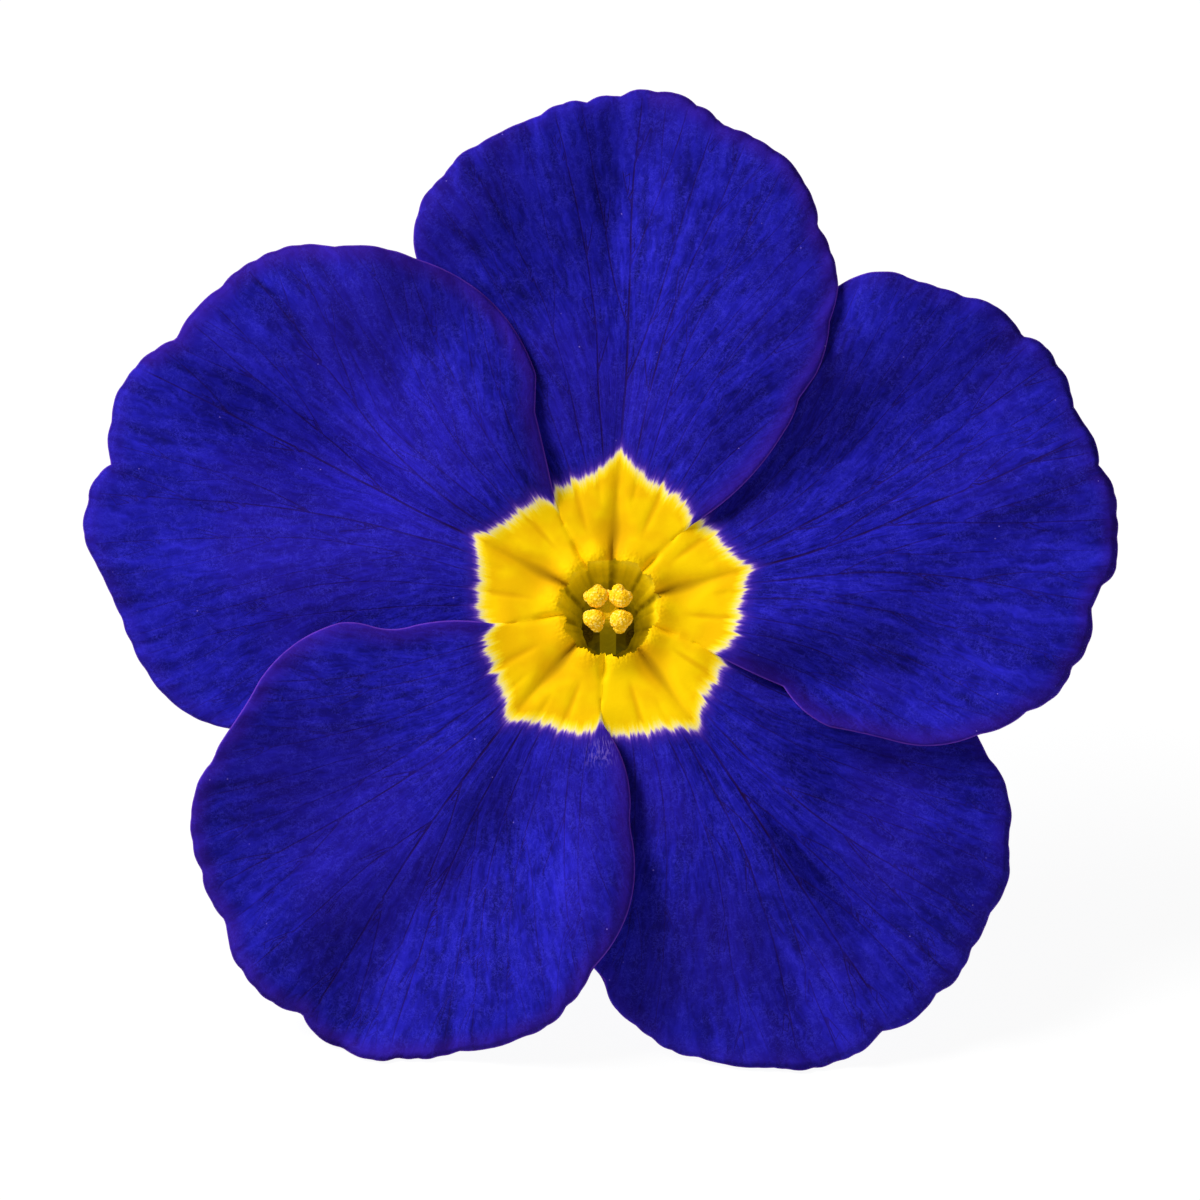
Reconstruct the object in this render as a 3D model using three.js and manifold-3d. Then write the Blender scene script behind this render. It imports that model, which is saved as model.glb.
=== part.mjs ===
// One polyanthus blossom, picked and laid down: it leans on its two lower petals and on its own stalk.
// Millimetres, +Z up, origin on the surface under the middle of the flower.

import * as THREE from "three";
import { mergeVertices } from "three/addons/utils/BufferGeometryUtils.js";
import Module from "manifold-3d";

const wasm = await Module();
wasm.setup();

const radians = THREE.MathUtils.degToRad;
const degrees = THREE.MathUtils.radToDeg;
const smooth = THREE.MathUtils.smoothstep;

// How the flower lies. In its own frame the face is flat in X and Y, and Z comes out of the throat.
const FACE_TILT = radians(58);
const FACE_ROLL = radians(1.2);
const THROAT_PLACE = [0.4, -6.85, 17.62];

// Petal blades. A reach is a distance from the middle of the throat. A share is 0 on a petal's median and 1
// at its notch, where it meets its neighbour.
const BLADE = { thickness: 0.64, columns: 24, rows: 13, spreadSweeps: 60, notchTurn: 1 };
const DISH = { rise: 0.8, risesFrom: 3, risenBy: 13, droop: 2.1, bendsFrom: 11, rimReach: 22.5 };
const LAYERS = { lift: 0.45, fromShare: 0.25, fullShare: 0.9, fromReach: 3.7, fullReach: 5.2 };
const MEDIAN_GROOVE = { depth: 0.3, share: 0.17, fullReach: 9, endReach: 20 };
const FRILL = { height: 0.5, parts: [0.6, 0.4], fromReach: 9, fullReach: 21, stilledBeside: 0.85 };

// Yellow eye: the star edge's radii, and the creases that part the throat's rim into ten lobes.
const EYE = { notch: 4.9, shoulder: 5.5, point: 6.65, notchShare: 0.14, pointShare: 0.2 };
const EYE_PLATE = { thickness: 0.7, gap: 0.15, columnsPerPetal: 14 };
const EYE_RINGS = [1, 0.82, 0.62, 0.42, 0.22, 0.08];
const CREASE = { share: 0.14, medianDepth: 0.28, notchDepth: 0.14, medianCut: 0.08, notchCut: 0.05 };

// Corolla tube, measured in depth below the mouth of the throat
const TUBE = { mouthRadius: 2.1, length: 16.8, wall: 0.6, lean: radians(14), fullLeanDepth: 4 };
const TUBE_DEPTHS = [0.9, 1.9, 3, 4.6, 6, 7, 8, 9, 10.2, 12, 14.4, TUBE.length];
const TUBE_WAIST = { narrowing: 0.95, byDepth: 3 };
const TUBE_SWELLING = { height: 0.65, depth: 8, length: 2.4 };
const TUBE_FOOT = { widening: 0.4, fromDepth: 11.5 };

// Inner pieces
const STYLE = { radius: 0.4, topDepth: 0.78, sides: 16 };
const OVARY = { radius: 1.15, topDepth: 14.2, baseDepth: 16.9 };
const ANTHER = { radius: 0.3, length: 2, circle: 1.2, sacSpread: 0.8, sides: 8 };
const FILAMENT = { radius: 0.13, wallGap: 0.15, drop: 0.2 };
const STIGMA_GRAIN = { height: 0.05, waves: 9 };
const STIGMA_LUMPS = [
  { centre: [-0.51, 0.39, -0.08], radii: [0.48, 0.48, 0.46] },
  { centre: [0.54, 0.46, -0.05], radii: [0.52, 0.5, 0.48] },
  { centre: [-0.58, -0.58, -0.08], radii: [0.47, 0.56, 0.46] },
  { centre: [0.55, -0.62, -0.06], radii: [0.5, 0.56, 0.48] },
  { centre: [0, -0.05, 0.12], radii: [0.5, 0.5, 0.32] },
];

// Calyx and pedicel
const CALYX = { teeth: 5, sidesPerTooth: 8, rows: 8, tipDepth: 4.6, floorDepth: 17.1, baseDepth: 18.7 };
const CALYX_TOOTH = { length: 4.2, roundness: 0.8, spread: 0.55, spreadFrom: 0.75 };
const CALYX_WALL = { innerRadius: 2.55, thickness: 0.62, footRadius: 0.54, footShare: 0.3 };
const CALYX_KEEL = { height: 0.4, fullShare: 0.5, fade: 0.6 };
const PEDICEL = { radius: 0.9, gap: 0.15, bendRadius: 10.3, straight: 3.5, steps: 18, quarterSides: 3 };

// The five petals. median, ccwNotch and cwNotch are angles in the face. ccwLay and cwLay say whether that
// side lies over its neighbour, 1, or under it, -1. The edge of a petal runs clockwise from notch to notch,
// as ccwMargin, rim and cwMargin: each triple is a point in mm and the outward bow of the stretch from there.
const PETALS = [
  {
    name: "petal_top",
    median: 85.5,
    ccwNotch: 118.1,
    cwNotch: 45.9,
    ccwLay: -1,
    cwLay: 1,
    frillWaves: [6.75, 11.5],
    frillStart: [0.4, 2.1],
    ccwBow: 0.8,
    ccwMargin: [],
    rim: [
      [-8.3, 15.1, 0.15],
      [-8.25, 16.9, 0.22],
      [-7.1, 18.6, 0.2],
      [-5.7, 20, 0.1],
      [-3, 21.35, 0.24],
      [-0.9, 22, 0.14],
      [0.6, 22.25, 0.22],
      [2.1, 22.42, 0.22],
      [3.85, 21.85, 0.12],
      [5, 20.95, 0.12],
      [7.1, 19.95, 0.2],
      [8.55, 18.35, 0.17],
      [9.1, 16.6, 0.2],
      [10, 13.9, 0.05],
    ],
    cwMargin: [
      [9.62, 12.4, 0.12],
      [9, 10.05, 0],
      [8.25, 9, 0.08],
      [7.6, 7.55, 0.35],
    ],
  },
  {
    name: "petal_left",
    median: 152.4,
    ccwNotch: 189.6,
    cwNotch: 118.1,
    ccwLay: -1,
    cwLay: 1,
    frillWaves: [7.25, 12.5],
    frillStart: [1.7, 0.6],
    ccwBow: 0.9,
    ccwMargin: [],
    rim: [
      [-16.4, -5.3, 0.38],
      [-19.7, -3.4, 0.13],
      [-21.1, -0.7, -0.03],
      [-22.35, 2, 0.36],
      [-22.62, 4.65, 0.28],
      [-21.6, 6.2, 0.18],
      [-21.58, 8.1, 0.2],
      [-20.95, 10, 0.25],
      [-18.85, 11.65, 0.22],
      [-16.8, 13.95, 0.12],
      [-15.4, 15, 0.36],
      [-11.8, 15.5, 0.24],
      [-8.4, 15.05, 0.97],
    ],
    cwMargin: [
      [-3.1, 10, 0],
      [-3.15, 8.4, 0.02],
    ],
  },
  {
    name: "petal_lower_left",
    median: 228.7,
    ccwNotch: 265.8,
    cwNotch: 189.6,
    ccwLay: 1,
    cwLay: 1,
    frillWaves: [6.25, 12],
    frillStart: [0.2, 1.3],
    ccwBow: 0.33,
    ccwMargin: [
      [0.97, -8.6, -0.06],
      [1.05, -10, 0.75],
    ],
    rim: [
      [-0.7, -15.6, 0.14],
      [-1.75, -17.2, 0.22],
      [-3.55, -18.55, 0.2],
      [-6.5, -19.3, 0.17],
      [-9, -19.6, 0.28],
      [-11.6, -19.2, 0.33],
      [-13.3, -17.75, 0.36],
      [-15.9, -15.85, 0.13],
      [-16.5, -14.6, 0],
      [-16.7, -13.6, 0.2],
      [-17.65, -11.6, 0.36],
      [-17.85, -7.9, 0.1],
      [-17.15, -6.75, 0.05],
      [-16.4, -5.35, -0.05],
    ],
    cwMargin: [
      [-15.05, -3.15, 0.39],
      [-11.6, -0.68, 0.08],
      [-10.2, -0.83, -0.14],
      [-8.4, -0.8, 0.18],
    ],
  },
  {
    name: "petal_lower_right",
    median: 306.4,
    ccwNotch: 337.5,
    cwNotch: 265.8,
    ccwLay: -1,
    cwLay: -1,
    frillWaves: [6.5, 11],
    frillStart: [2.4, 0.9],
    ccwBow: 1.3,
    ccwMargin: [],
    rim: [
      [16, -5.5, 0],
      [16.6, -6.65, 0.12],
      [17.35, -7.95, 0.18],
      [17.4, -10.3, 0.42],
      [16.55, -13.3, 0.1],
      [15.75, -14.85, 0.05],
      [15.25, -15.95, 0.12],
      [14.25, -16.8, 0.39],
      [11.85, -18.4, 0.22],
      [10.1, -19.7, 0.24],
      [7.2, -20, 0.17],
      [4, -19.6, 0.17],
      [2, -18.85, 0],
      [0.85, -17.95, 0.24],
      [-0.15, -16.2, 0],
      [-0.7, -15.6, 1.9],
    ],
    cwMargin: [],
  },
  {
    name: "petal_right",
    median: 15.2,
    ccwNotch: 45.9,
    cwNotch: -22.5,
    ccwLay: -1,
    cwLay: 1,
    frillWaves: [7, 13],
    frillStart: [0.9, 1.8],
    ccwBow: 0.9,
    ccwMargin: [],
    rim: [
      [10, 13.95, 0.55],
      [13.5, 14.1, 0.08],
      [15.4, 13.5, 0.45],
      [18.05, 11.8, 0.28],
      [19.5, 10.65, 0.2],
      [20.25, 8.7, 0.02],
      [20.95, 7.6, 0.15],
      [21.3, 6.15, 0.2],
      [22.1, 4.4, 0.06],
      [22.1, 1.8, 0.13],
      [21.45, 0.95, 0],
      [20.95, -0.1, 0.37],
      [20.05, -2.65, 0.37],
      [18.05, -4.5, 0.18],
      [16, -5.5, 0.32],
    ],
    cwMargin: [
      [12.5, -5.85, -0.04],
      [9.6, -5.2, 0.22],
      [7.6, -3.45, 0.05],
    ],
  },
];

// Where an angle of the face falls in a petal: 1 at its counter-clockwise notch, 0 on its median, -1 at the
// other notch.
function acrossPetal(petal, angle) {
  const turn = THREE.MathUtils.euclideanModulo(angle - petal.median + 180, 360) - 180;
  const halfWidth = turn > 0 ? petal.ccwNotch - petal.median : petal.median - petal.cwNotch;
  return turn / halfWidth;
}

// A smooth hump, 1 where the distance is 0 and nearly gone at twice the width
const hump = (distance, width) => Math.exp(-((distance / width) ** 2));

// Radius of the yellow eye's star edge: a notch between petals, a shoulder, and a point on each median.
function eyeEdge(across) {
  const share = Math.abs(across);
  const outOfNotch = Math.sqrt(THREE.MathUtils.clamp((1 - share) / EYE.notchShare, 0, 1));
  const shoulder = THREE.MathUtils.lerp(EYE.notch, EYE.shoulder, outOfNotch);
  return shoulder + (EYE.point - EYE.shoulder) * Math.exp(-share / EYE.pointShare);
}

// Height of the face at a distance from the throat: nearly level, a little risen, bent back at the rim.
function dish(reach) {
  const bentBack = Math.max(0, (reach - DISH.bendsFrom) / (DISH.rimReach - DISH.bendsFrom));
  return DISH.rise * smooth(reach, DISH.risesFrom, DISH.risenBy) - DISH.droop * bentBack ** 2;
}

// Height of a petal's middle surface: its side lies over or under the neighbour, its median is a shallow
// groove, and its rim is frilled.
function petalHeight(petal, x, y) {
  const reach = Math.hypot(x, y);
  const across = acrossPetal(petal, degrees(Math.atan2(y, x)));
  const beside = smooth(Math.abs(across), LAYERS.fromShare, LAYERS.fullShare);
  const lay = across > 0 ? petal.ccwLay : petal.cwLay;
  const lift = LAYERS.lift * lay * beside * smooth(reach, LAYERS.fromReach, LAYERS.fullReach);
  const grooveLeft = 1 - smooth(reach, MEDIAN_GROOVE.fullReach, MEDIAN_GROOVE.endReach);
  const groove = MEDIAN_GROOVE.depth * hump(across, MEDIAN_GROOVE.share) * grooveLeft;
  const wave = (i) => FRILL.parts[i] * Math.sin(petal.frillWaves[i] * across + petal.frillStart[i]);
  const frillGrown = smooth(reach, FRILL.fromReach, FRILL.fullReach) * (1 - FRILL.stilledBeside * beside);
  return dish(reach) + lift - groove + FRILL.height * (wave(0) + wave(1)) * frillGrown;
}

// A margin from its list of points and bows, each stretch one shallow curve.
function marginPath(points) {
  const path = new THREE.CurvePath();
  for (let i = 0; i + 1 < points.length; i++) {
    const from = new THREE.Vector2(points[i][0], points[i][1]);
    const to = new THREE.Vector2(points[i + 1][0], points[i + 1][1]);
    const outward = new THREE.Vector2(from.y - to.y, to.x - from.x).normalize();
    const pull = from.clone().lerp(to, 0.5).addScaledVector(outward, 2 * (points[i][2] ?? 0));
    path.add(new THREE.QuadraticBezierCurve(from, pull, to));
  }
  return path;
}

// A closed sheet: a grid of points for its upper face, another for its lower face, and the edge between them.
// Both faces are split alike, with diagonals that run into the outer corners.
function sheetGeometry(columns, rows, upper, lower) {
  const positions = [];
  for (const face of [upper, lower]) {
    for (let j = 0; j <= rows; j++) {
      for (let i = 0; i <= columns; i++) positions.push(...face(i, j));
    }
  }
  const width = columns + 1;
  const below = width * (rows + 1);
  const faces = [];
  for (let j = 0; j < rows; j++) {
    for (let i = 0; i < columns; i++) {
      const a = j * width + i;
      const [b, c, d] = [a + 1, a + width + 1, a + width];
      const halves = i < columns / 2 ? [[a, b, d], [b, c, d]] : [[a, b, c], [a, c, d]];
      for (const [p, q, r] of halves) faces.push(p, q, r, below + p, below + r, below + q);
    }
  }
  const edge = [];
  for (let i = 0; i < columns; i++) edge.push(i);
  for (let j = 0; j < rows; j++) edge.push(j * width + columns);
  for (let i = columns; i > 0; i--) edge.push(rows * width + i);
  for (let j = rows; j > 0; j--) edge.push(j * width);
  edge.forEach((a, k) => {
    const b = edge[(k + 1) % edge.length];
    faces.push(a, below + a, b, b, below + a, below + b);
  });
  return indexed(positions, faces);
}

function indexed(positions, faces) {
  const geometry = new THREE.BufferGeometry();
  geometry.setAttribute("position", new THREE.Float32BufferAttribute(positions, 3));
  geometry.setIndex(faces);
  return geometry;
}

// A body of rings: point(ring, side) walks once round each ring. The rings close on themselves, or the first
// and the last shrink to one point each.
function ringGeometry(rings, sides, point, endsClosed) {
  const positions = [];
  for (let i = 0; i < rings; i++) {
    for (let j = 0; j < sides; j++) positions.push(...point(i, j));
  }
  const faces = [];
  const lastRing = endsClosed ? rings - 1 : rings;
  for (let i = 0; i < lastRing; i++) {
    for (let j = 0; j < sides; j++) {
      const a = i * sides + j;
      const b = i * sides + ((j + 1) % sides);
      const c = ((i + 1) % rings) * sides + j;
      const d = ((i + 1) % rings) * sides + ((j + 1) % sides);
      faces.push(a, b, d, a, d, c);
    }
  }
  if (endsClosed) {
    for (let j = 1; j + 1 < sides; j++) {
      const last = (rings - 1) * sides;
      faces.push(0, j + 1, j, last, last + j, last + j + 1);
    }
  }
  return indexed(positions, faces);
}

// The points of a petal in the flat of the face, row by row from the eye out. The outermost lie on the
// petal's edge and the rest are spread between them by averaging each with its four neighbours.
function petalGrid(petal) {
  const onEye = (share) => {
    const first = petal.ccwNotch - BLADE.notchTurn;
    const last = petal.cwNotch + BLADE.notchTurn;
    const angle = THREE.MathUtils.lerp(first, last, share);
    const radius = eyeEdge(acrossPetal(petal, angle)) + EYE_PLATE.gap;
    return new THREE.Vector2(radius, 0).rotateAround(new THREE.Vector2(), radians(angle));
  };
  const ccw = marginPath([[...onEye(0).toArray(), petal.ccwBow], ...petal.ccwMargin, petal.rim[0]]);
  const rim = marginPath(petal.rim);
  const cw = marginPath([petal.rim.at(-1), ...petal.cwMargin, onEye(1).toArray()]);
  const grid = [];
  for (let j = 0; j <= BLADE.rows; j++) {
    const outward = j / BLADE.rows;
    const row = [ccw.getPoint(outward)];
    for (let i = 1; i < BLADE.columns; i++) {
      const sideways = i / BLADE.columns;
      row.push(onEye(sideways).lerp(rim.getPoint(sideways), outward));
    }
    grid.push([...row, cw.getPoint(1 - outward)]);
  }
  for (let sweep = 0; sweep < BLADE.spreadSweeps; sweep++) {
    for (let j = 1; j < BLADE.rows; j++) {
      for (let i = 1; i < BLADE.columns; i++) {
        const around = [grid[j - 1][i], grid[j + 1][i], grid[j][i - 1], grid[j][i + 1]];
        grid[j][i].set(0, 0);
        for (const point of around) grid[j][i].addScaledVector(point, 1 / around.length);
      }
    }
  }
  return grid;
}

function petalGeometry(petal) {
  const grid = petalGrid(petal);
  const face = (offset) => (i, j) => {
    const { x, y } = grid[j][i];
    return [x, y, petalHeight(petal, x, y) + offset];
  };
  return sheetGeometry(BLADE.columns, BLADE.rows, face(BLADE.thickness / 2), face(-BLADE.thickness / 2));
}

// Inner radius of the corolla tube at a depth: narrow below the mouth, wider round the anthers and the ovary.
function tubeRadius(depth) {
  const waist = TUBE_WAIST.narrowing * smooth(depth, 0, TUBE_WAIST.byDepth);
  const swelling = TUBE_SWELLING.height * hump(depth - TUBE_SWELLING.depth, TUBE_SWELLING.length);
  const foot = TUBE_FOOT.widening * smooth(depth, TUBE_FOOT.fromDepth, TUBE.length);
  return TUBE.mouthRadius - waist + swelling + foot;
}

// A point on the ring that stands at a depth down the leaning tube.
function onTube(radius, depth, angle) {
  const lean = TUBE.lean * Math.min(1, depth / TUBE.fullLeanDepth);
  const up = radius * Math.sin(angle);
  return [
    radius * Math.cos(angle),
    up * Math.cos(lean) - depth * Math.sin(TUBE.lean),
    -up * Math.sin(lean) - depth * Math.cos(TUBE.lean),
  ];
}

// Once round the corolla's wall at one angle of the face: down the inside of the tube, up its outside, out
// under the eye and back over it to the mouth.
function corollaSection(petal, angle) {
  const turn = radians(angle);
  const across = acrossPetal(petal, angle);
  const edge = eyeEdge(across);
  const onMedian = hump(across, CREASE.share);
  const onNotch = hump(1 - Math.abs(across), CREASE.share);
  const mouth = TUBE.mouthRadius + CREASE.medianCut * onMedian + CREASE.notchCut * onNotch;
  const creaseDepth = CREASE.medianDepth * onMedian + CREASE.notchDepth * onNotch;
  const onEye = (share, offset, creased) => {
    const radius = THREE.MathUtils.lerp(mouth, edge, share);
    const crease = creased ? creaseDepth * (1 - share) : 0;
    return [radius * Math.cos(turn), radius * Math.sin(turn), dish(radius) + offset - crease];
  };
  const top = BLADE.thickness / 2;
  const bottom = top - EYE_PLATE.thickness;
  const underside = EYE_RINGS.filter((share) => share > 0.5).toReversed();
  return [
    ...TUBE_DEPTHS.map((depth) => onTube(tubeRadius(depth), depth, turn)),
    ...TUBE_DEPTHS.toReversed().map((depth) => onTube(tubeRadius(depth) + TUBE.wall, depth, turn)),
    ...underside.map((share) => onEye(share, bottom, false)),
    ...EYE_RINGS.map((share) => onEye(share, top, true)),
    onEye(0, 0, true),
  ];
}

// The yellow eye, the ten lobes of its throat rim and the tube: one closed wall, with the tube open below.
function corollaTubeGeometry() {
  const columns = PETALS.flatMap((petal) =>
    Array.from({ length: EYE_PLATE.columnsPerPetal }, (_, i) => {
      const share = (i + 0.5) / EYE_PLATE.columnsPerPetal;
      return { petal, angle: THREE.MathUtils.lerp(petal.cwNotch, petal.ccwNotch, share) };
    }),
  );
  const fullTurn = (angle) => THREE.MathUtils.euclideanModulo(angle, 360);
  columns.sort((a, b) => fullTurn(b.angle) - fullTurn(a.angle));
  const sections = columns.map(({ petal, angle }) => corollaSection(petal, angle));
  return ringGeometry(sections.length, sections[0].length, (i, j) => sections[i][j], false);
}

// manifold-3d solid of a closed geometry, and back
function solid(geometry) {
  const bare = new THREE.BufferGeometry().setAttribute("position", geometry.getAttribute("position"));
  const merged = mergeVertices(bare.setIndex(geometry.index), 1e-4);
  return new wasm.Manifold(
    new wasm.Mesh({
      numProp: 3,
      vertProperties: merged.attributes.position.array,
      triVerts: new Uint32Array(merged.index.array),
    }),
  );
}

function joined(geometries) {
  const whole = geometries.map(solid).reduce((sum, next) => sum.add(next)).getMesh();
  return indexed(Array.from(whole.vertProperties), Array.from(whole.triVerts));
}

// Head of the style: four granular lumps with a low cap between them.
function stigmaGeometry() {
  const lumps = STIGMA_LUMPS.map(({ centre, radii }) => {
    const lump = new THREE.IcosahedronGeometry(1, 2);
    const places = lump.getAttribute("position");
    const point = new THREE.Vector3();
    for (let i = 0; i < places.count; i++) {
      point.fromBufferAttribute(places, i);
      const grain = Math.sin(STIGMA_GRAIN.waves * point.x) * Math.cos(STIGMA_GRAIN.waves * point.z);
      point.multiplyScalar(1 + STIGMA_GRAIN.height * grain);
      places.setXYZ(i, point.x, point.y, point.z);
    }
    return lump.scale(...radii).translate(...centre);
  });
  return joined(lumps);
}

// Ovary and style, turned round the tube's own axis.
function pistilGeometry() {
  const { radius, topDepth, baseDepth } = OVARY;
  const outline = [
    [0, baseDepth],
    [0.55 * radius, baseDepth],
    [0.92 * radius, baseDepth - 0.5],
    [radius, (baseDepth + topDepth) / 2],
    [0.9 * radius, topDepth + 0.6],
    [0.62 * radius, topDepth + 0.15],
    [STYLE.radius, topDepth - 0.2],
    [STYLE.radius, STYLE.topDepth],
    [0, STYLE.topDepth],
  ];
  const points = outline.map(([across, depth]) => new THREE.Vector2(across, -depth));
  return new THREE.LatheGeometry(points, STYLE.sides).rotateX(Math.PI / 2);
}

// One stamen: an anther of two sacs on a short filament that comes from the tube's wall.
function stamenGeometry() {
  const sac = (side) =>
    new THREE.CapsuleGeometry(ANTHER.radius, ANTHER.length - 2 * ANTHER.radius, 3, ANTHER.sides)
      .rotateX(Math.PI / 2)
      .translate(ANTHER.circle, side * ANTHER.sacSpread * ANTHER.radius, 0);
  const filamentEnd = tubeRadius(TUBE_SWELLING.depth) - FILAMENT.wallGap;
  const length = filamentEnd - ANTHER.circle;
  const filament = new THREE.CylinderGeometry(FILAMENT.radius, FILAMENT.radius, length, ANTHER.sides)
    .rotateZ(Math.PI / 2)
    .translate(filamentEnd - length / 2, 0, -FILAMENT.drop);
  return joined([sac(-1), sac(1), filament]);
}

// Calyx: a cup with a keel up each of its teeth, whose tips stand a little away from the tube. Its rings run
// up the outside from the foot to the teeth, over their edge and down the inside to the floor.
function calyxGeometry() {
  const sides = CALYX.teeth * CALYX.sidesPerTooth;
  const { rows } = CALYX;
  const point = (i, j) => {
    const turn = (2 * Math.PI * j) / sides;
    const fromTip = Math.abs((j % CALYX.sidesPerTooth) - CALYX.sidesPerTooth / 2) / (CALYX.sidesPerTooth / 2);
    const onTooth = 1 - fromTip;
    const top = CALYX.tipDepth + CALYX_TOOTH.length * (1 - onTooth ** CALYX_TOOTH.roundness);
    const outside = i <= rows;
    const share = (outside ? i : 2 * rows + 1 - i) / rows;
    const depth = THREE.MathUtils.lerp(outside ? CALYX.baseDepth : CALYX.floorDepth, top, share);
    const spread = CALYX_TOOTH.spread * smooth(share, CALYX_TOOTH.spreadFrom, 1) * onTooth;
    const inner = CALYX_WALL.innerRadius + spread;
    const keel = CALYX_KEEL.height * onTooth * smooth(share, 0, CALYX_KEEL.fullShare);
    const outer = inner + CALYX_WALL.thickness + keel * (1 - CALYX_KEEL.fade * share);
    const rounded = smooth(share, -CALYX_WALL.footShare / 3, CALYX_WALL.footShare);
    const radius = outside ? THREE.MathUtils.lerp(CALYX_WALL.footRadius, outer, rounded) : inner;
    return [radius * Math.cos(turn), radius * Math.sin(turn), -depth];
  };
  return ringGeometry(2 * rows + 2, sides, point, true);
}

// Pedicel: bends from the calyx until it lies level on the surface, and ends in a straight cut.
function pedicelGeometry() {
  const bend = Math.PI / 2 - (FACE_TILT - TUBE.lean);
  const onBend = (turn) =>
    new THREE.Vector3(
      0,
      PEDICEL.bendRadius * (1 - Math.cos(turn)),
      -CALYX.baseDepth - PEDICEL.gap - PEDICEL.bendRadius * Math.sin(turn),
    );
  const level = new THREE.Vector3(0, Math.sin(bend), -Math.cos(bend));
  const points = [0, 0.2, 0.4, 0.6, 0.8, 1].map((share) => onBend(share * bend));
  for (const share of [0.5, 1]) points.push(onBend(bend).addScaledVector(level, share * PEDICEL.straight));
  return new THREE.ExtrudeGeometry(new THREE.Shape().absarc(0, 0, PEDICEL.radius, 0, 2 * Math.PI), {
    curveSegments: 2 * PEDICEL.quarterSides,
    steps: PEDICEL.steps,
    extrudePath: new THREE.CatmullRomCurve3(points),
  });
}

const PETAL_BLUE = { color: 0x1f1280, roughness: 0.55, metalness: 0 };
const EYE_YELLOW = { color: 0xf2c500, roughness: 0.6, metalness: 0 };
const STIGMA_YELLOW = { color: 0xe8cf3a, roughness: 0.7, metalness: 0 };
const STYLE_GREEN = { color: 0xb9b54a, roughness: 0.5, metalness: 0 };
const ANTHER_OCHRE = { color: 0xd9a62c, roughness: 0.8, metalness: 0 };
const CALYX_GREEN = { color: 0x7f9c47, roughness: 0.6, metalness: 0 };
const PEDICEL_GREEN = { color: 0x8fa653, roughness: 0.6, metalness: 0 };

function piece(name, geometry, finish) {
  const mesh = new THREE.Mesh(geometry, new THREE.MeshStandardMaterial(finish));
  mesh.name = name;
  return mesh;
}

const blossom = new THREE.Group();
blossom.position.set(...THROAT_PLACE);
blossom.rotation.set(FACE_TILT, 0, FACE_ROLL);
for (const petal of PETALS) blossom.add(piece(petal.name, petalGeometry(petal), PETAL_BLUE));
blossom.add(piece("corolla_tube", corollaTubeGeometry(), EYE_YELLOW));
blossom.add(piece("stigma", stigmaGeometry(), STIGMA_YELLOW));

// What stands in the tube or round it is placed along the tube's own axis.
const alongTube = new THREE.Group();
alongTube.rotation.x = -TUBE.lean;
blossom.add(alongTube);
alongTube.add(piece("pistil", pistilGeometry(), STYLE_GREEN));
PETALS.forEach((petal, i) => {
  const stamen = piece("stamen_" + (i + 1), stamenGeometry(), ANTHER_OCHRE);
  stamen.position.z = -TUBE_SWELLING.depth;
  stamen.rotation.z = radians(petal.median);
  alongTube.add(stamen);
});
alongTube.add(piece("calyx", calyxGeometry(), CALYX_GREEN));
alongTube.add(piece("pedicel", pedicelGeometry(), PEDICEL_GREEN));

const flower = new THREE.Group();
flower.add(blossom);
export default flower;
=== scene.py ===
# %% [markdown]
# A picked polyanthus flower, lying on a pale table
#
# The blossom has five overlapping blue petals, a yellow eye and a slender tube. It leans on its two lower
# petals and on its own stalk, and the camera looks straight at its face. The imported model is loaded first,
# as a fixed frame. Every piece below stands where that frame says and takes the place of one of its solids.

import math
import random

import bmesh
import bpy
import numpy as np
from mathutils import Matrix, Vector, kdtree, noise


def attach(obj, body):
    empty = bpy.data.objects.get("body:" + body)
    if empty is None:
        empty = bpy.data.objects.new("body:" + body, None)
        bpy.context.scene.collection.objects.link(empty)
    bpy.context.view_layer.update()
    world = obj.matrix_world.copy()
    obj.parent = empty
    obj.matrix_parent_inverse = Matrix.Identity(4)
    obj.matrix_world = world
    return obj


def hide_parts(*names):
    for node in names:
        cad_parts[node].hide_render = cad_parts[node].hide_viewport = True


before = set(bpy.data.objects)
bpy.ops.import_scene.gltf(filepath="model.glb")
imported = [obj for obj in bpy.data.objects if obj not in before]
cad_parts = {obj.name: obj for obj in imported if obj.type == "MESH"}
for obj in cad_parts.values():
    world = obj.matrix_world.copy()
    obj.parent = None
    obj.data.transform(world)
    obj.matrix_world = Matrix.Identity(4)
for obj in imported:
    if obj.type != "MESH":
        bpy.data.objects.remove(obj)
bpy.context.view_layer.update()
print("solids in the frame:", ", ".join(sorted(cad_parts)))

# %% [markdown]
# A flower is easiest to describe from its own throat: x and y lie flat in its face, z comes out towards the
# bee, and lengths are in millimetres. One matrix then turns that face to the way the flower lies, in metres.
# The tube leans from the face's own axis, so what stands in it or round it has a second matrix.

# %% The flower's own frame
MM = 0.001
FACE_TILT = math.radians(58)
FACE_ROLL = math.radians(1.2)
TUBE_LEAN = math.radians(14)
THROAT_PLACE = Vector((0.4, -6.85, 17.62)) * MM

face_turn = Matrix.Rotation(FACE_TILT, 4, "X") @ Matrix.Rotation(FACE_ROLL, 4, "Z")
face_to_world = Matrix.Translation(THROAT_PLACE) @ face_turn @ Matrix.Scale(MM, 4)
tube_to_world = face_to_world @ Matrix.Rotation(-TUBE_LEAN, 4, "X")


def placed(points, matrix):
    """Points in mm of the flower's frame, as an array of metres in the shared frame."""
    turn = np.array(matrix)
    return np.asarray(points, float).reshape(-1, 3) @ turn[:3, :3].T + turn[:3, 3]


print("the face looks along", [round(x, 3) for x in face_turn.to_3x3() @ Vector((0, 0, 1))])

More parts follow.
